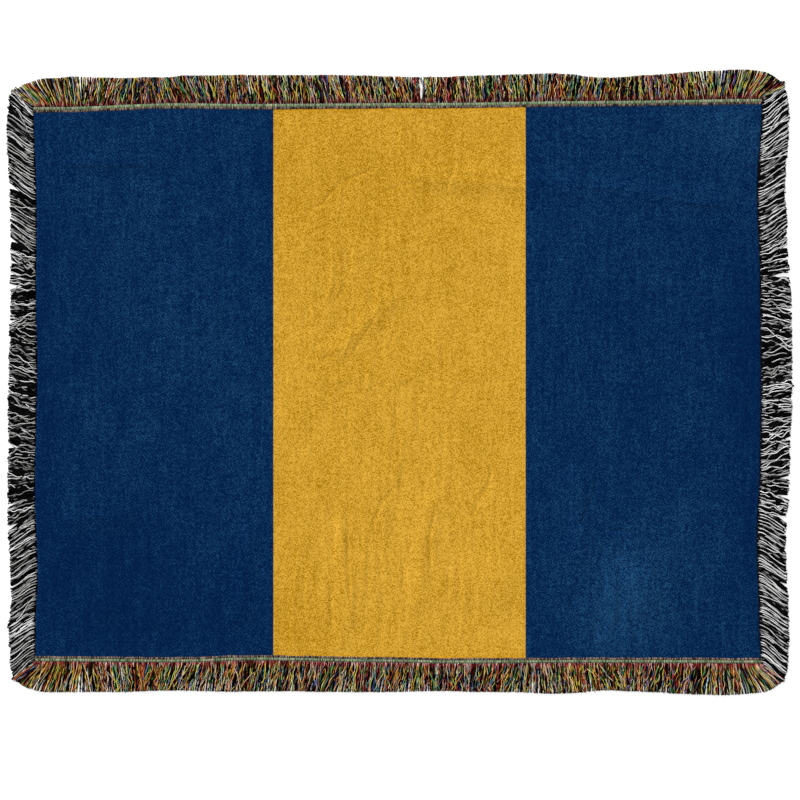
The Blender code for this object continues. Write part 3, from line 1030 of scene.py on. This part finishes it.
    def spread(self, low: float, high: float, steps: tuple, bands: tuple) -> np.ndarray:
        """Places of grid lines: the running total of a density, 1/step, that rises in the bands.

        Args:
            low: The first line.
            high: The last line.
            steps: The usual spacing and the closer one.
            bands: Spans in millimetres that have the closer one.

        Returns:
            The places, whose number is one more than a multiple of under_every.
        """
        place = np.linspace(low, high, self.spread_probes)
        usual, close = 1 / np.array(steps)
        density = np.full_like(place, usual)
        for start, end in bands:
            off = np.maximum(start * MM - place, place - end * MM)
            near = 1 - soft_step(off, *self.band_blend)
            density = np.maximum(density, usual + (close - usual) * near)
        total = np.concatenate(((0.0,), np.cumsum((density[1:] + density[:-1]) / 2)))
        count = self.under_every * round(total[-1] * (place[1] - place[0]) / self.under_every)
        return np.interp(np.linspace(0, total[-1], count + 1), total, place)

    @staticmethod
    def cells(number: np.ndarray) -> np.ndarray:
        """The four-cornered faces of a grid of point numbers."""
        corners = (number[:-1, :-1], number[1:, :-1], number[1:, 1:], number[:-1, 1:])
        return np.stack(corners, axis=-1).reshape(-1, 4)

    @staticmethod
    def rim(number: np.ndarray) -> np.ndarray:
        """The outer points of a grid of point numbers, once round from its first corner."""
        sides = (number[:-1, 0], number[-1, :-1], number[:0:-1, -1], number[0, :0:-1])
        return np.concatenate(sides)


def tubes(paths: np.ndarray, radii: np.ndarray, sides: int, flatness: float) -> tuple:
    """Round strands: a ring of points about each point of each path, across its direction.

    Args:
        paths: Centre lines, (strand, point, xyz).
        radii: The radius at each point, (strand, point).
        sides: How many points a ring has.
        flatness: A strand's height as a share of its width.

    Returns:
        The points, (strand, point, ring, xyz), the wall faces, the end faces, and each wall
        face's corners in the map: turns round the strand, and metres along it.
    """
    count, length, _ = paths.shape
    heading = np.gradient(paths, axis=1)
    heading /= np.linalg.norm(heading, axis=2, keepdims=True) + TINY
    across = np.cross(heading, np.array((0.0, 0.0, 1.0)))
    across /= np.linalg.norm(across, axis=2, keepdims=True) + TINY
    upward = np.cross(across, heading)
    angles = 2 * math.pi * (np.arange(sides) + 0.5) / sides
    ring = (
        np.cos(angles)[None, None, :, None] * across[:, :, None, :]
        + flatness * np.sin(angles)[:, None] * upward[:, :, None, :]
    )
    points = paths[:, :, None, :] + radii[:, :, None, None] * ring
    number = np.arange(count * length * sides).reshape(count, length, sides)
    ahead = np.roll(number, -1, axis=2)
    walls = np.stack((number[:, :-1], number[:, 1:], ahead[:, 1:], ahead[:, :-1]), axis=-1)
    ends = np.concatenate((number[:, 0], number[:, -1, ::-1]))
    steps = np.linalg.norm(np.diff(paths, axis=1), axis=2)
    along = np.concatenate((np.zeros((count, 1)), np.cumsum(steps, axis=1)), axis=1)
    turn = np.arange(sides) / sides
    low, high = along[:, :-1, None], along[:, 1:, None]
    here, there = turn[None, None, :], turn[None, None, :] + 1 / sides
    corners = [
        np.stack(np.broadcast_arrays(u, v), axis=-1)
        for u, v in ((here, low), (here, high), (there, high), (there, low))
    ]
    return points, walls.reshape(-1, 4), ends, np.stack(corners, axis=3).reshape(-1, 2)


class Dye(NamedTuple):
    """A colour of yarn and how much of it there is."""

    colour: str
    weight: float


@dataclass(frozen=True)
class YarnMix:
    """The yarns of a fringe: light and dark ones in turn, each tinted at its root."""

    light: tuple
    dark: tuple
    light_roots: tuple
    dark_roots: tuple
    root_length: float
    light_lost: float = 0.2  # the share of the light yarns' turns that a dark yarn takes
    dark_lost: float = 0.06
    ply_and_painted_shade_share: float = 0.4  # how far a ply of another colour shows where it turns up: a dark one on a light yarn is also painted shade, as if the yarn dived under others
    # Two such turns, partly real plies of another colour and partly painted shade along light yarns: the
    # share of a yarn over which each turns up and away, and its seed.
    ply_turns_and_painted_shade: tuple = ((0.17, 3), (0.11, 4))
    tone_spread: tuple = (0.8, 1.12)
    root_spread: tuple = (0.5, 1.5)
    root_fade: tuple = (0.6, 1.4)

    def dark_ones(self, count: int, rng: np.random.Generator) -> np.ndarray:
        """Says of each yarn whether it is dark: every second one, but for a few."""
        is_dark = np.arange(count) % 2 == 1
        lost = np.where(is_dark, self.dark_lost, self.light_lost)
        return is_dark ^ (rng.uniform(0, 1, count) < lost)

    def colours(self, is_dark: np.ndarray, way: np.ndarray, rng: np.random.Generator) -> np.ndarray:
        """Draws a colour for each yarn, which its root colour fades into.

        Args:
            is_dark: Whether each yarn is dark.
            way: Each point's share of its yarn, from 0 at the root to 1.
            rng: The source of chance.

        Returns:
            Linear colours, (yarn, point, rgb).
        """
        count = len(is_dark)
        dark = is_dark[:, None]
        own = np.where(dark, self.draw(self.dark, count, rng), self.draw(self.light, count, rng))
        roots = [self.draw(dyes, count, rng) for dyes in (self.dark_roots, self.light_roots)]
        root = np.where(dark, *roots)[:, None]
        own = (own * rng.uniform(*self.tone_spread, (count, 1)))[:, None]
        lane = np.arange(count)[:, None] + 0 * way
        # Drawn colours turn up along each yarn: partly real plies of another colour, partly painted shade
        # where a light yarn turns dark as if diving under others.
        for turn_length, seed in self.ply_turns_and_painted_shade:
            other = self.draw(self.light + self.dark, count, rng)[:, None]
            turned = lattice_noise(lane, lane * 0 + way, 1.0, turn_length, seed)
            turned = self.ply_and_painted_shade_share * soft_step(turned, 0.0, 0.4)[..., None]
            own = own * (1 - turned) + other * turned
        reach = self.root_length * rng.uniform(*self.root_spread, (count, 1))
        fade = (1 - soft_step(way[None, :] / reach, *self.root_fade))[..., None]
        return own * (1 - fade) + root * fade

    @staticmethod
    def draw(dyes: tuple, count: int, rng: np.random.Generator) -> np.ndarray:
        """Draws dyes by weight and returns their linear colours."""
        weights = np.array([dye.weight for dye in dyes])
        picks = rng.choice(len(dyes), count, p=weights / weights.sum())
        return np.array([linear(dye.colour) for dye in dyes])[picks]


MIXED = YarnMix(
    light=(
        Dye("#f4dc50", 0.17), Dye("#f3e2b0", 0.10), Dye("#eca890", 0.10), Dye("#e88f3c", 0.16),
        Dye("#b6d878", 0.10), Dye("#449c50", 0.11), Dye("#5fa3ae", 0.05), Dye("#4a68b4", 0.06),
        Dye("#c83e3c", 0.10), Dye("#b4afc0", 0.03),
    ),
    dark=(
        Dye("#050305", 0.60), Dye("#5c1216", 0.18), Dye("#183e1f", 0.09), Dye("#182464", 0.07),
        Dye("#4c3c10", 0.06),
    ),
    light_roots=(Dye("#dc9088", 0.28), Dye("#eccabc", 0.17), Dye("#a03438", 0.55)),
    dark_roots=(Dye("#64181c", 0.5), Dye("#1e0708", 0.5)),
    root_length=0.14,
    light_lost=0.35,
    dark_lost=0.2,
    ply_and_painted_shade_share=0.8,
)
BLACK_AND_WHITE = YarnMix(
    light=(Dye("#ffffff", 0.78), Dye("#e4e4e2", 0.16), Dye("#9b9b99", 0.06)),
    dark=(Dye("#010101", 0.94), Dye("#161617", 0.06)),
    light_roots=(Dye("#a8998a", 0.3), Dye("#d6d4cc", 0.5), Dye("#85886c", 0.2)),
    dark_roots=(Dye("#0e0a09", 0.8), Dye("#2a1c14", 0.2)),
    root_length=0.05,
)
# The left fringe shows less of the whitest yarn.
BLACK_AND_GREY = replace(
    BLACK_AND_WHITE, light=(Dye("#ffffff", 0.36), Dye("#d4d4d2", 0.42), Dye("#9b9b99", 0.22))
)
# The fill's near-black colours: partly black yarn, partly painted shade in the gaps between the yarns.
BLACK_YARN_AND_SHADE_FILL = YarnMix(
    light=(Dye("#060506", 1.0),),
    dark=(Dye("#0b090b", 1.0),),
    light_roots=(Dye("#140b0a", 1.0),),
    dark_roots=(Dye("#0d0808", 1.0),),
    root_length=0.1,
)


class YarnLayer(NamedTuple):
    """One layer of a fringe: how close, thick and high its yarns lie, and how freely."""

    pitch: float
    radius: float
    lowest: float
    highest: float
    loose: float
    flatness: float
    points: int
    ring: int


# Black yarns packed close into a layer under the others: partly black yarn, partly painted shade that
# fills the gaps from below.
BLACK_YARN_AND_SHADE_LAYER = YarnLayer(
    pitch=2.2 * MM, radius=2.1 * MM, lowest=1.3 * MM, highest=1.5 * MM, loose=0.12, flatness=0.6,
    points=9, ring=4,
)


@dataclass
class Fringe:
    """The loose yarns past one edge of the cloth."""

    side: Side
    cloth: Cloth
    mix: YarnMix
    seed: int
    leans: tuple
    top: YarnLayer
    under: YarnLayer = BLACK_YARN_AND_SHADE_LAYER
    usual_length: float = 55 * MM
    # Where the yarns are rooted. They crowd within this distance of a corner.
    root_inset: float = 1.0 * MM
    root_height: float = 1.0 * MM
    root_chance: float = 0.22
    root_probes: int = 2000
    corner_reach: float = 3 * MM
    crowding: float = 1.4
    crowded_within: float = 16 * MM
    # How tangled they are: less beyond a place towards the corners.
    calm_from: float = 660 * MM
    calm_blend: float = 40 * MM
    calmed_by: float = 0.6
    # How far they reach, and over what length the drift of that changes.
    short_of_table: float = 1.6 * MM
    reach_spread: float = 0.3 * MM
    reach_drift: float = 0.5 * MM
    reach_patch: float = 14 * MM
    longest: float = 1.1
    # How they lean, in degrees: each alone, with its neighbours, and a few across the others.
    own_lean: float = 6.0
    shared_lean: float = 3.0
    lean_patch: float = 30 * MM
    lean_ends: tuple = (10 * MM, 60 * MM)  # from the corner: where the drift is least, and full
    least_drift: float = 0.3
    crossing_share: float = 0.2
    crossing_lean: float = 24.0
    # How they swing from side to side.
    wave: float = 1.5 * MM
    wave_turns: tuple = (0.9, 2.8)
    wave_spread: tuple = (0.3, 1.3)
    kink: float = 1.5 * MM
    kink_length: float = 7.5 * MM
    shared_wave: float = 1.0 * MM
    shared_patch: tuple = (12 * MM, 19 * MM)
    hook: float = 4.0 * MM
    hooked_share: float = 0.15
    hooked_from: float = 0.6
    # A parting's width as a share of its row's, and how many such widths its push reaches.
    parting_width: float = 1.3
    parting_reach: float = 4.0
    # How they rise and fall, and how thick they are.
    rise_and_fall: float = 1.4 * MM
    rise_length: float = 12 * MM
    light_lift: float = 0.3 * MM
    girth_spread: tuple = (0.85, 1.08)
    dark_girth: float = 1.0  # a dark yarn's thickness as a share of a light one's
    root_girth: float = 0.6
    tip_taper: float = 0.2
    floor_gap: float = 0.05 * MM

    def __post_init__(self) -> None:
        """Works out the cloth's outline on this side, once."""
        self.outline = self.cloth.edge(self.side)
        self.stations = self.outline @ self.side.along
        self.turn = self.side.along.sum()

    def base(self, place: np.ndarray) -> np.ndarray:
        """How far out the cloth's edge lies at places along it."""
        return np.interp(place, self.stations, self.outline @ self.side.outward)

    def in_table(self, place: np.ndarray) -> np.ndarray:
        """The x or y, in millimetres, by which the tables give places along this side."""
        return place * self.turn / MM

    def field_lean(self, place: np.ndarray) -> np.ndarray:
        """The lean in degrees that neighbours share: the side's table and a slow drift."""
        inland = soft_step(self.stations[-1] - np.abs(place), *self.lean_ends)
        uneven = self.shared_lean * drift(place, self.lean_patch, self.seed + 1)
        uneven = uneven * (self.least_drift + (1 - self.least_drift) * inland)
        return self.turn * eased(self.leans, self.in_table(place)) + uneven

    def tangle(self, place: np.ndarray) -> np.ndarray:
        """How tangled the yarns are: fully in the middle, less towards the corners."""
        calm = soft_step(np.abs(place), self.calm_from - self.calm_blend, self.calm_from)
        return 1 - self.calmed_by * calm

    def roots(self, count: int, rng: np.random.Generator) -> np.ndarray:
        """Places of the roots along the edge: evenly spread, but crowded at the two corners.

        The crowding dies away as exp(-distance / crowded_within): the yarns fan out there.

        Args:
            count: How many yarns there are.
            rng: The source of chance.

        Returns:
            The places, in rising order but for a little chance.
        """
        start, end = self.stations[0] - self.corner_reach, self.stations[-1] + self.corner_reach
        grid = np.linspace(start, end, self.root_probes)
        from_corner = np.minimum(grid - start, end - grid)
        total = np.cumsum(1 + self.crowding * np.exp(-from_corner / self.crowded_within))
        chance = rng.uniform(-self.root_chance, self.root_chance, count)
        share = (np.arange(count) + 0.5 + chance) / count
        return np.interp(share * total[-1], total, grid)

    def yarn_paths(self, layer: YarnLayer, is_dark: np.ndarray, rng: np.random.Generator) -> np.ndarray:
        """Centre lines of one layer of yarns.

        A yarn leaves its root squarely and bends over to its own lean. On top of that it
        swings from side to side, and the partings near it push its tip aside.

        Args:
            layer: The layer.
            is_dark: Whether each yarn is dark: the light ones lie a little higher.
            rng: The source of chance.

        Returns:
            The lines, (yarn, point, xyz).
        """
        count = len(is_dark)
        root = self.roots(count, rng)
        loose = layer.loose * self.tangle(root)
        way = np.linspace(0, 1, layer.points)[None, :]
        crossing = rng.uniform(0, 1, count) < self.crossing_share * loose
        lean = self.field_lean(root) + loose * rng.normal(0, self.own_lean, count)
        lean = np.radians(lean + crossing * rng.uniform(-1, 1, count) * self.crossing_lean)
        reach = eased(REACHES[self.side], self.in_table(root)) * MM - self.short_of_table
        reach = reach + self.reach_drift * drift(root, self.reach_patch, self.seed + 2)
        reach = reach + rng.normal(0, self.reach_spread, count)
        length = np.minimum(reach / np.cos(np.clip(lean, -1.0, 1.0)), self.longest * reach)[:, None]
        bend = (way**1.4 + smooth(way)) / 2
        place = root[:, None] + length * np.sin(lean)[:, None] * bend
        place = place + self.swing(root, way, loose[:, None], rng) + self.parted(place, way)
        out = self.base(root)[:, None] - self.root_inset
        out = out + (length + self.root_inset) * np.cos(lean)[:, None] * way
        rise = self.rise_and_fall * self.along_each(count, way, self.rise_length, self.seed + 4)
        lying = rng.uniform(layer.lowest, layer.highest, (count, 1)) + loose[:, None] * rise
        lying = lying + layer.loose * self.light_lift * np.where(is_dark, -1, 1)[:, None]
        height = self.root_height + (lying - self.root_height) * soft_step(way, 0.0, 0.14)
        flat = place[..., None] * self.side.along + out[..., None] * self.side.outward
        return np.concatenate((flat, height[..., None]), axis=2)

    def along_each(self, count: int, way: np.ndarray, length: float, seed: int) -> np.ndarray:
        """Noise along each yarn, drawn apart from its neighbours', with cells of this length."""
        lane = np.arange(count)[:, None] + 0 * way
        return lattice_noise(lane, self.usual_length * way, 1.0, length, seed)

    def swing(
        self, root: np.ndarray, way: np.ndarray, loose: np.ndarray, rng: np.random.Generator
    ) -> np.ndarray:
        """How far yarns stray sideways.

        It is the sum of a yarn's own sine, of kinks, which are noise along the yarn alone, of
        a drift shared with its neighbours and, in the last stretch of a few, of a hook.

        Args:
            root: The roots' places.
            way: Each point's share of its yarn.
            loose: How freely each yarn strays, from 0 to 1.
            rng: The source of chance.

        Returns:
            The distances along the edge, (yarn, point).
        """
        count = len(root)
        phase = rng.uniform(0, 2 * math.pi, (count, 1))
        turns = rng.uniform(*self.wave_turns, (count, 1))
        own = self.wave * rng.uniform(*self.wave_spread, (count, 1))
        own = own * (np.sin(2 * math.pi * turns * way + phase) - np.sin(phase)) * np.sqrt(way)
        kinks = self.along_each(count, way, self.kink_length, self.seed + 5)
        kinks = self.kink * kinks * soft_step(way, 0.0, 0.25)
        beside, onward = root[:, None] + 0 * way, self.usual_length * way
        shared = lattice_noise(beside, onward, *self.shared_patch, self.seed + 3)
        is_hooked = rng.uniform(0, 1, (count, 1)) < self.hooked_share
        hooked = is_hooked * rng.normal(0, self.hook, (count, 1))
        tip = np.clip((way - self.hooked_from) / (1 - self.hooked_from), 0, 1) ** 2
        return loose * (own + kinks + hooked * tip + self.shared_wave * shared * way)

    def parted(self, place: np.ndarray, way: np.ndarray) -> np.ndarray:
        """How far the partings push yarns aside: most beside each, towards the tips."""
        pushed = np.zeros_like(place)
        for parting in PARTINGS[self.side]:
            wide = self.parting_width * parting.half_width_mm * MM
            off = place[:, -1:] - parting.along_mm * MM * self.turn
            depth = np.clip((way - 1) / parting.share + 1, 0, 1) ** 1.3
            push = np.sign(off) * wide * np.exp(-np.abs(off) / (self.parting_reach * wide))
            pushed += push * depth
        return pushed

    def strands(self, layer: YarnLayer, mix: YarnMix, rng: np.random.Generator) -> tuple:
        """Builds one layer's yarns.

        Args:
            layer: The layer.
            mix: Its colours.
            rng: The source of chance.

        Returns:
            The points, each point's colour, the wall faces, the end faces and the walls' map.
        """
        length = self.stations[-1] - self.stations[0] + 2 * self.crowded_within * self.crowding
        is_dark = mix.dark_ones(int(length / layer.pitch), rng)
        paths = self.yarn_paths(layer, is_dark, rng)
        way = np.linspace(0, 1, layer.points)
        # These colours hold painted shade as well as dye: the fill's black and the dark turns along light
        # yarns.
        dyes = mix.colours(is_dark, way, rng)
        thick = layer.radius * rng.uniform(*self.girth_spread, (len(paths), 1))
        thick = thick * np.where(is_dark, self.dark_girth, 1.0)[:, None]
        swells = self.root_girth + (1 - self.root_girth) * soft_step(way, 0.0, 0.08)
        tapers = 1 - self.tip_taper * soft_step(way, 0.9, 1.05)
        radii = thick * (swells * tapers)[None, :]
        paths[..., 2] = np.maximum(paths[..., 2], layer.flatness * radii + self.floor_gap)
        points, walls, ends, corners = tubes(paths, radii, layer.ring, layer.flatness)
        colours = np.repeat(dyes[:, :, None], layer.ring, axis=2)
        return points.reshape(-1, 3), colours.reshape(-1, 3), walls, ends, corners

    def build(self, finish: bpy.types.Material, slot: str) -> bpy.types.Object:
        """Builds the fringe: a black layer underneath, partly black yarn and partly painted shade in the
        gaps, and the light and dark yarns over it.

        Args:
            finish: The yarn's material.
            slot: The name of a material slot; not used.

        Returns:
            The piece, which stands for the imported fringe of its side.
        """
        rng = np.random.default_rng(self.seed)
        low = self.strands(self.under, BLACK_YARN_AND_SHADE_FILL, rng)
        high = self.strands(self.top, self.mix, rng)
        points = np.concatenate((low[0], high[0]))
        above = len(low[0])
        faces = [low[2], low[3], high[2] + above, high[3] + above]
        piece = new_piece(f"fringe_yarns_{self.side.label}", points, faces, finish)
        ends = [np.zeros((part[3].size, 2)) for part in (low, high)]
        set_corner_map(piece, np.concatenate((low[4], ends[0], high[4], ends[1])))
        set_point_colour(piece, "dye", np.concatenate((low[1], high[1])))
        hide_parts(f"fringe_{self.side.label}")
        return piece


class RibRow(NamedTuple):
    """One row of a heading's ribs: where it begins inside the edge, and what it is made of."""

    inset_mm: float
    length_mm: float
    dyes: tuple


@dataclass
class Heading:
    """The woven band along the top or the bottom edge: two rows of short ribs across it."""

    side: Side
    cloth: Cloth
    seed: int
    rows: tuple = (
        RibRow(0.3, 5.6, (
            Dye("#78946c", 0.3), Dye("#9aae8a", 0.28), Dye("#566f50", 0.12), Dye("#b8ba9e", 0.1),
            Dye("#8a9864", 0.1), Dye("#b6a090", 0.1),
        )),
        RibRow(5.6, 4.8, (
            Dye("#7d6d5f", 0.3), Dye("#938679", 0.22), Dye("#4c3e37", 0.2), Dye("#2f2526", 0.2),
            Dye("#a58a78", 0.08),
        )),
    )
    pitch: float = 1.9 * MM
    radius: float = 1.05 * MM
    thin_ends: float = 0.75  # a rib's thickness at its ends, as a share
    flatness: float = 0.75
    points: int = 5
    ring: int = 4
    root_chance: float = 0.25
    slant: float = 0.35 * MM
    # How far a row's ribs waver, with their neighbours and by chance, where the row begins
    # full_waver_mm inside the edge. Elsewhere it is in proportion.
    waver: float = 0.7 * MM
    waver_length: float = 22 * MM
    waver_chance: float = 0.25 * MM
    full_waver_mm: float = 5.0
    sunk: float = 0.2 * MM
    arch: float = 0.45 * MM
    tone_drift: float = 0.25
    tone_length: float = 14 * MM
    tone_chance: float = 0.1

    def build(self, finish: bpy.types.Material) -> bpy.types.Object:
        """Builds the ribs: short strands side by side, arched up in the middle.

        Args:
            finish: The yarn's material.

        Returns:
            The piece, which lies on the cloth.
        """
        rng = np.random.default_rng(self.seed)
        outline = self.cloth.edge(self.side)
        stations = outline @ self.side.along
        count = int((stations[-1] - stations[0]) / self.pitch)
        way = np.linspace(0, 1, self.points)[None, :]
        arched = np.sin(math.pi * way)
        paths, dyes = [], []
        for row in self.rows:
            chance = rng.uniform(-self.root_chance, self.root_chance, count)
            root = stations[0] + (np.arange(count) + 0.5 + chance) * self.pitch
            place = root[:, None] + rng.normal(0, self.slant, (count, 1)) * way
            waver = self.waver * drift(root, self.waver_length, self.seed + 1)
            waver = waver + rng.uniform(-self.waver_chance, self.waver_chance, count)
            waver = waver[:, None] * row.inset_mm / self.full_waver_mm
            inset = (row.inset_mm + row.length_mm * way) * MM + waver
            base = np.interp(place, stations, outline @ self.side.outward)
            height = self.cloth.body(inset) - self.sunk + self.arch * arched
            flat = place[..., None] * self.side.along + (base - inset)[..., None] * self.side.outward
            paths.append(np.concatenate((flat, height[..., None]), axis=2))
            tone = 1 + self.tone_drift * drift(root, self.tone_length, self.seed + 2)
            tone = tone + rng.uniform(-self.tone_chance, self.tone_chance, count)
            dyes.append(YarnMix.draw(row.dyes, count, rng) * tone[:, None])
        lines = np.concatenate(paths)
        profile = self.thin_ends + (1 - self.thin_ends) * arched
        radii = self.radius * profile * np.ones((len(lines), 1))
        points, walls, ends, corners = tubes(lines, radii, self.ring, self.flatness)
        name = f"woven_heading_{self.side.label}"
        piece = new_piece(name, points, [walls, ends], finish)
        set_corner_map(piece, np.concatenate((corners, np.zeros((ends.size, 2)))))
        colours = np.repeat(np.concatenate(dyes)[:, None, None], self.points, axis=1)
        set_point_colour(piece, "dye", np.repeat(colours, self.ring, axis=2))
        return piece


@dataclass
class Studio:
    """A pale floor, soft light and the camera straight above the blanket."""

    floor_colour: str = "#a8a8a8"
    floor_glow: float = 0.78
    frame_width: float = 1.552
    aim_x: float = 1.0 * MM
    aim_y: float = -34.0 * MM
    lens_mm: float = 135.0
    sensor_mm: float = 36.0
    sun_strength: float = 3.7
    sun_height_deg: float = 34.0
    sun_from_deg: float = 125.0
    sun_width_deg: float = 12.0
    ambient: float = 0.34

    def add_floor(self) -> None:
        """A floor of opal acrylic lit from below, as for a cut-out: it keeps shadows faint."""
        nodes = Nodes("lit_opal_acrylic_floor")
        nodes.shader.inputs["Base Color"].default_value = (*linear(self.floor_colour), 1.0)
        nodes.shader.inputs["Emission Color"].default_value = (1.0, 1.0, 1.0, 1.0)
        nodes.shader.inputs["Emission Strength"].default_value = self.floor_glow
        nodes.shader.inputs["Roughness"].default_value = 1.0
        nodes.shader.inputs["Specular IOR Level"].default_value = 0.0
        mesh = bpy.data.meshes.new("floor")
        reach, below = 12.0, -0.3 * MM
        corners = [(-reach, -reach), (reach, -reach), (reach, reach), (-reach, reach)]
        mesh.from_pydata([(x, y, below) for x, y in corners], [], [(0, 1, 2, 3)])
        mesh.materials.append(nodes.material)
        floor = bpy.data.objects.new("floor", mesh)
        bpy.context.scene.collection.objects.link(floor)

    def add_light(self) -> None:
        """A low, broad key from the top edge's side and an even white surround."""
        lamp = bpy.data.lights.new("key", "SUN")
        lamp.energy = self.sun_strength
        lamp.angle = math.radians(self.sun_width_deg)
        key = bpy.data.objects.new("key", lamp)
        turn = math.radians(self.sun_from_deg) + math.pi / 2
        key.rotation_euler = (math.radians(90 - self.sun_height_deg), 0.0, turn)
        bpy.context.scene.collection.objects.link(key)
        world = bpy.data.worlds.new("surround")
        world.use_nodes = True
        tree = world.node_tree
        background = tree.nodes["Background"]
        background.inputs["Color"].default_value = (1.0, 1.0, 1.0, 1.0)
        seen = tree.nodes.new("ShaderNodeLightPath")
        strength = tree.nodes.new("ShaderNodeMapRange")
        strength.inputs["To Min"].default_value = self.ambient
        strength.inputs["To Max"].default_value = 1.0
        tree.links.new(seen.outputs["Is Camera Ray"], strength.inputs["Value"])
        tree.links.new(strength.outputs["Result"], background.inputs["Strength"])
        bpy.context.scene.world = world

    def add_camera(self) -> None:
        """A long lens, so that the blanket's sides stay parallel, as in the photograph."""
        lens = bpy.data.cameras.new("camera")
        lens.lens = self.lens_mm
        lens.sensor_width = self.sensor_mm
        distance = self.frame_width * self.lens_mm / self.sensor_mm
        camera = bpy.data.objects.new("camera", lens)
        camera.location = (self.aim_x, self.aim_y, distance)
        lens.clip_end = 100.0
        bpy.context.scene.collection.objects.link(camera)
        bpy.context.scene.camera = camera

    def build(self) -> None:
        """Sets the stage."""
        self.add_floor()
        self.add_light()
        self.add_camera()
        bpy.context.scene.view_settings.view_transform = "Standard"


def main() -> None:
    """Builds the blanket piece by piece, and then the stage."""
    logging.basicConfig(level=logging.INFO, format="%(message)s")
    cloth = Cloth()
    weave = CottonWeave().make()
    mixed = PliedYarn("mixed_cotton_yarn").make()
    black_and_white = PliedYarn("black_and_white_cotton_yarn").make()
    heading_yarn = PliedYarn("heading_cotton_yarn", twist_mm=2.6).make()
    sheet = cloth.build(weave)
    end_yarns = YarnLayer(
        pitch=1.5 * MM, radius=0.85 * MM, lowest=2.4 * MM, highest=4.0 * MM, loose=1.0,
        flatness=0.9, points=15, ring=4,
    )
    for number, side in enumerate((Side.TOP, Side.BOTTOM)):
        Heading(side, cloth, HEADING_SEED + number).build(heading_yarn)
        fringe = Fringe(side, cloth, MIXED, END_SEED + number, END_LEANS, end_yarns)
        fringe.build(mixed, "mixed_yarn")
    side_yarns = YarnLayer(
        pitch=2.8 * MM, radius=0.86 * MM, lowest=2.6 * MM, highest=4.2 * MM, loose=1.0,
        flatness=0.6, points=16, ring=5,
    )
    mixes = (BLACK_AND_GREY, BLACK_AND_WHITE)
    for number, (side, mix) in enumerate(zip((Side.LEFT, Side.RIGHT), mixes)):
        fringe = Fringe(
            side, cloth, mix, SIDE_SEED + number, SIDE_LEANS, side_yarns,
            calm_from=270 * MM, longest=1.25, reach_spread=1.0 * MM, reach_drift=1.2 * MM, crowding=0.3,
            crossing_share=0.25, crossing_lean=28.0, wave=1.8 * MM, kink=3.0 * MM,
            kink_length=10 * MM, shared_wave=1.4 * MM, hook=5.0 * MM, rise_and_fall=1.5 * MM,
            light_lift=0.45 * MM, dark_girth=1.5,
        )
        fringe.build(black_and_white, "black_and_white_yarn")
    Studio().build()


if __name__ == "__main__":
    main()
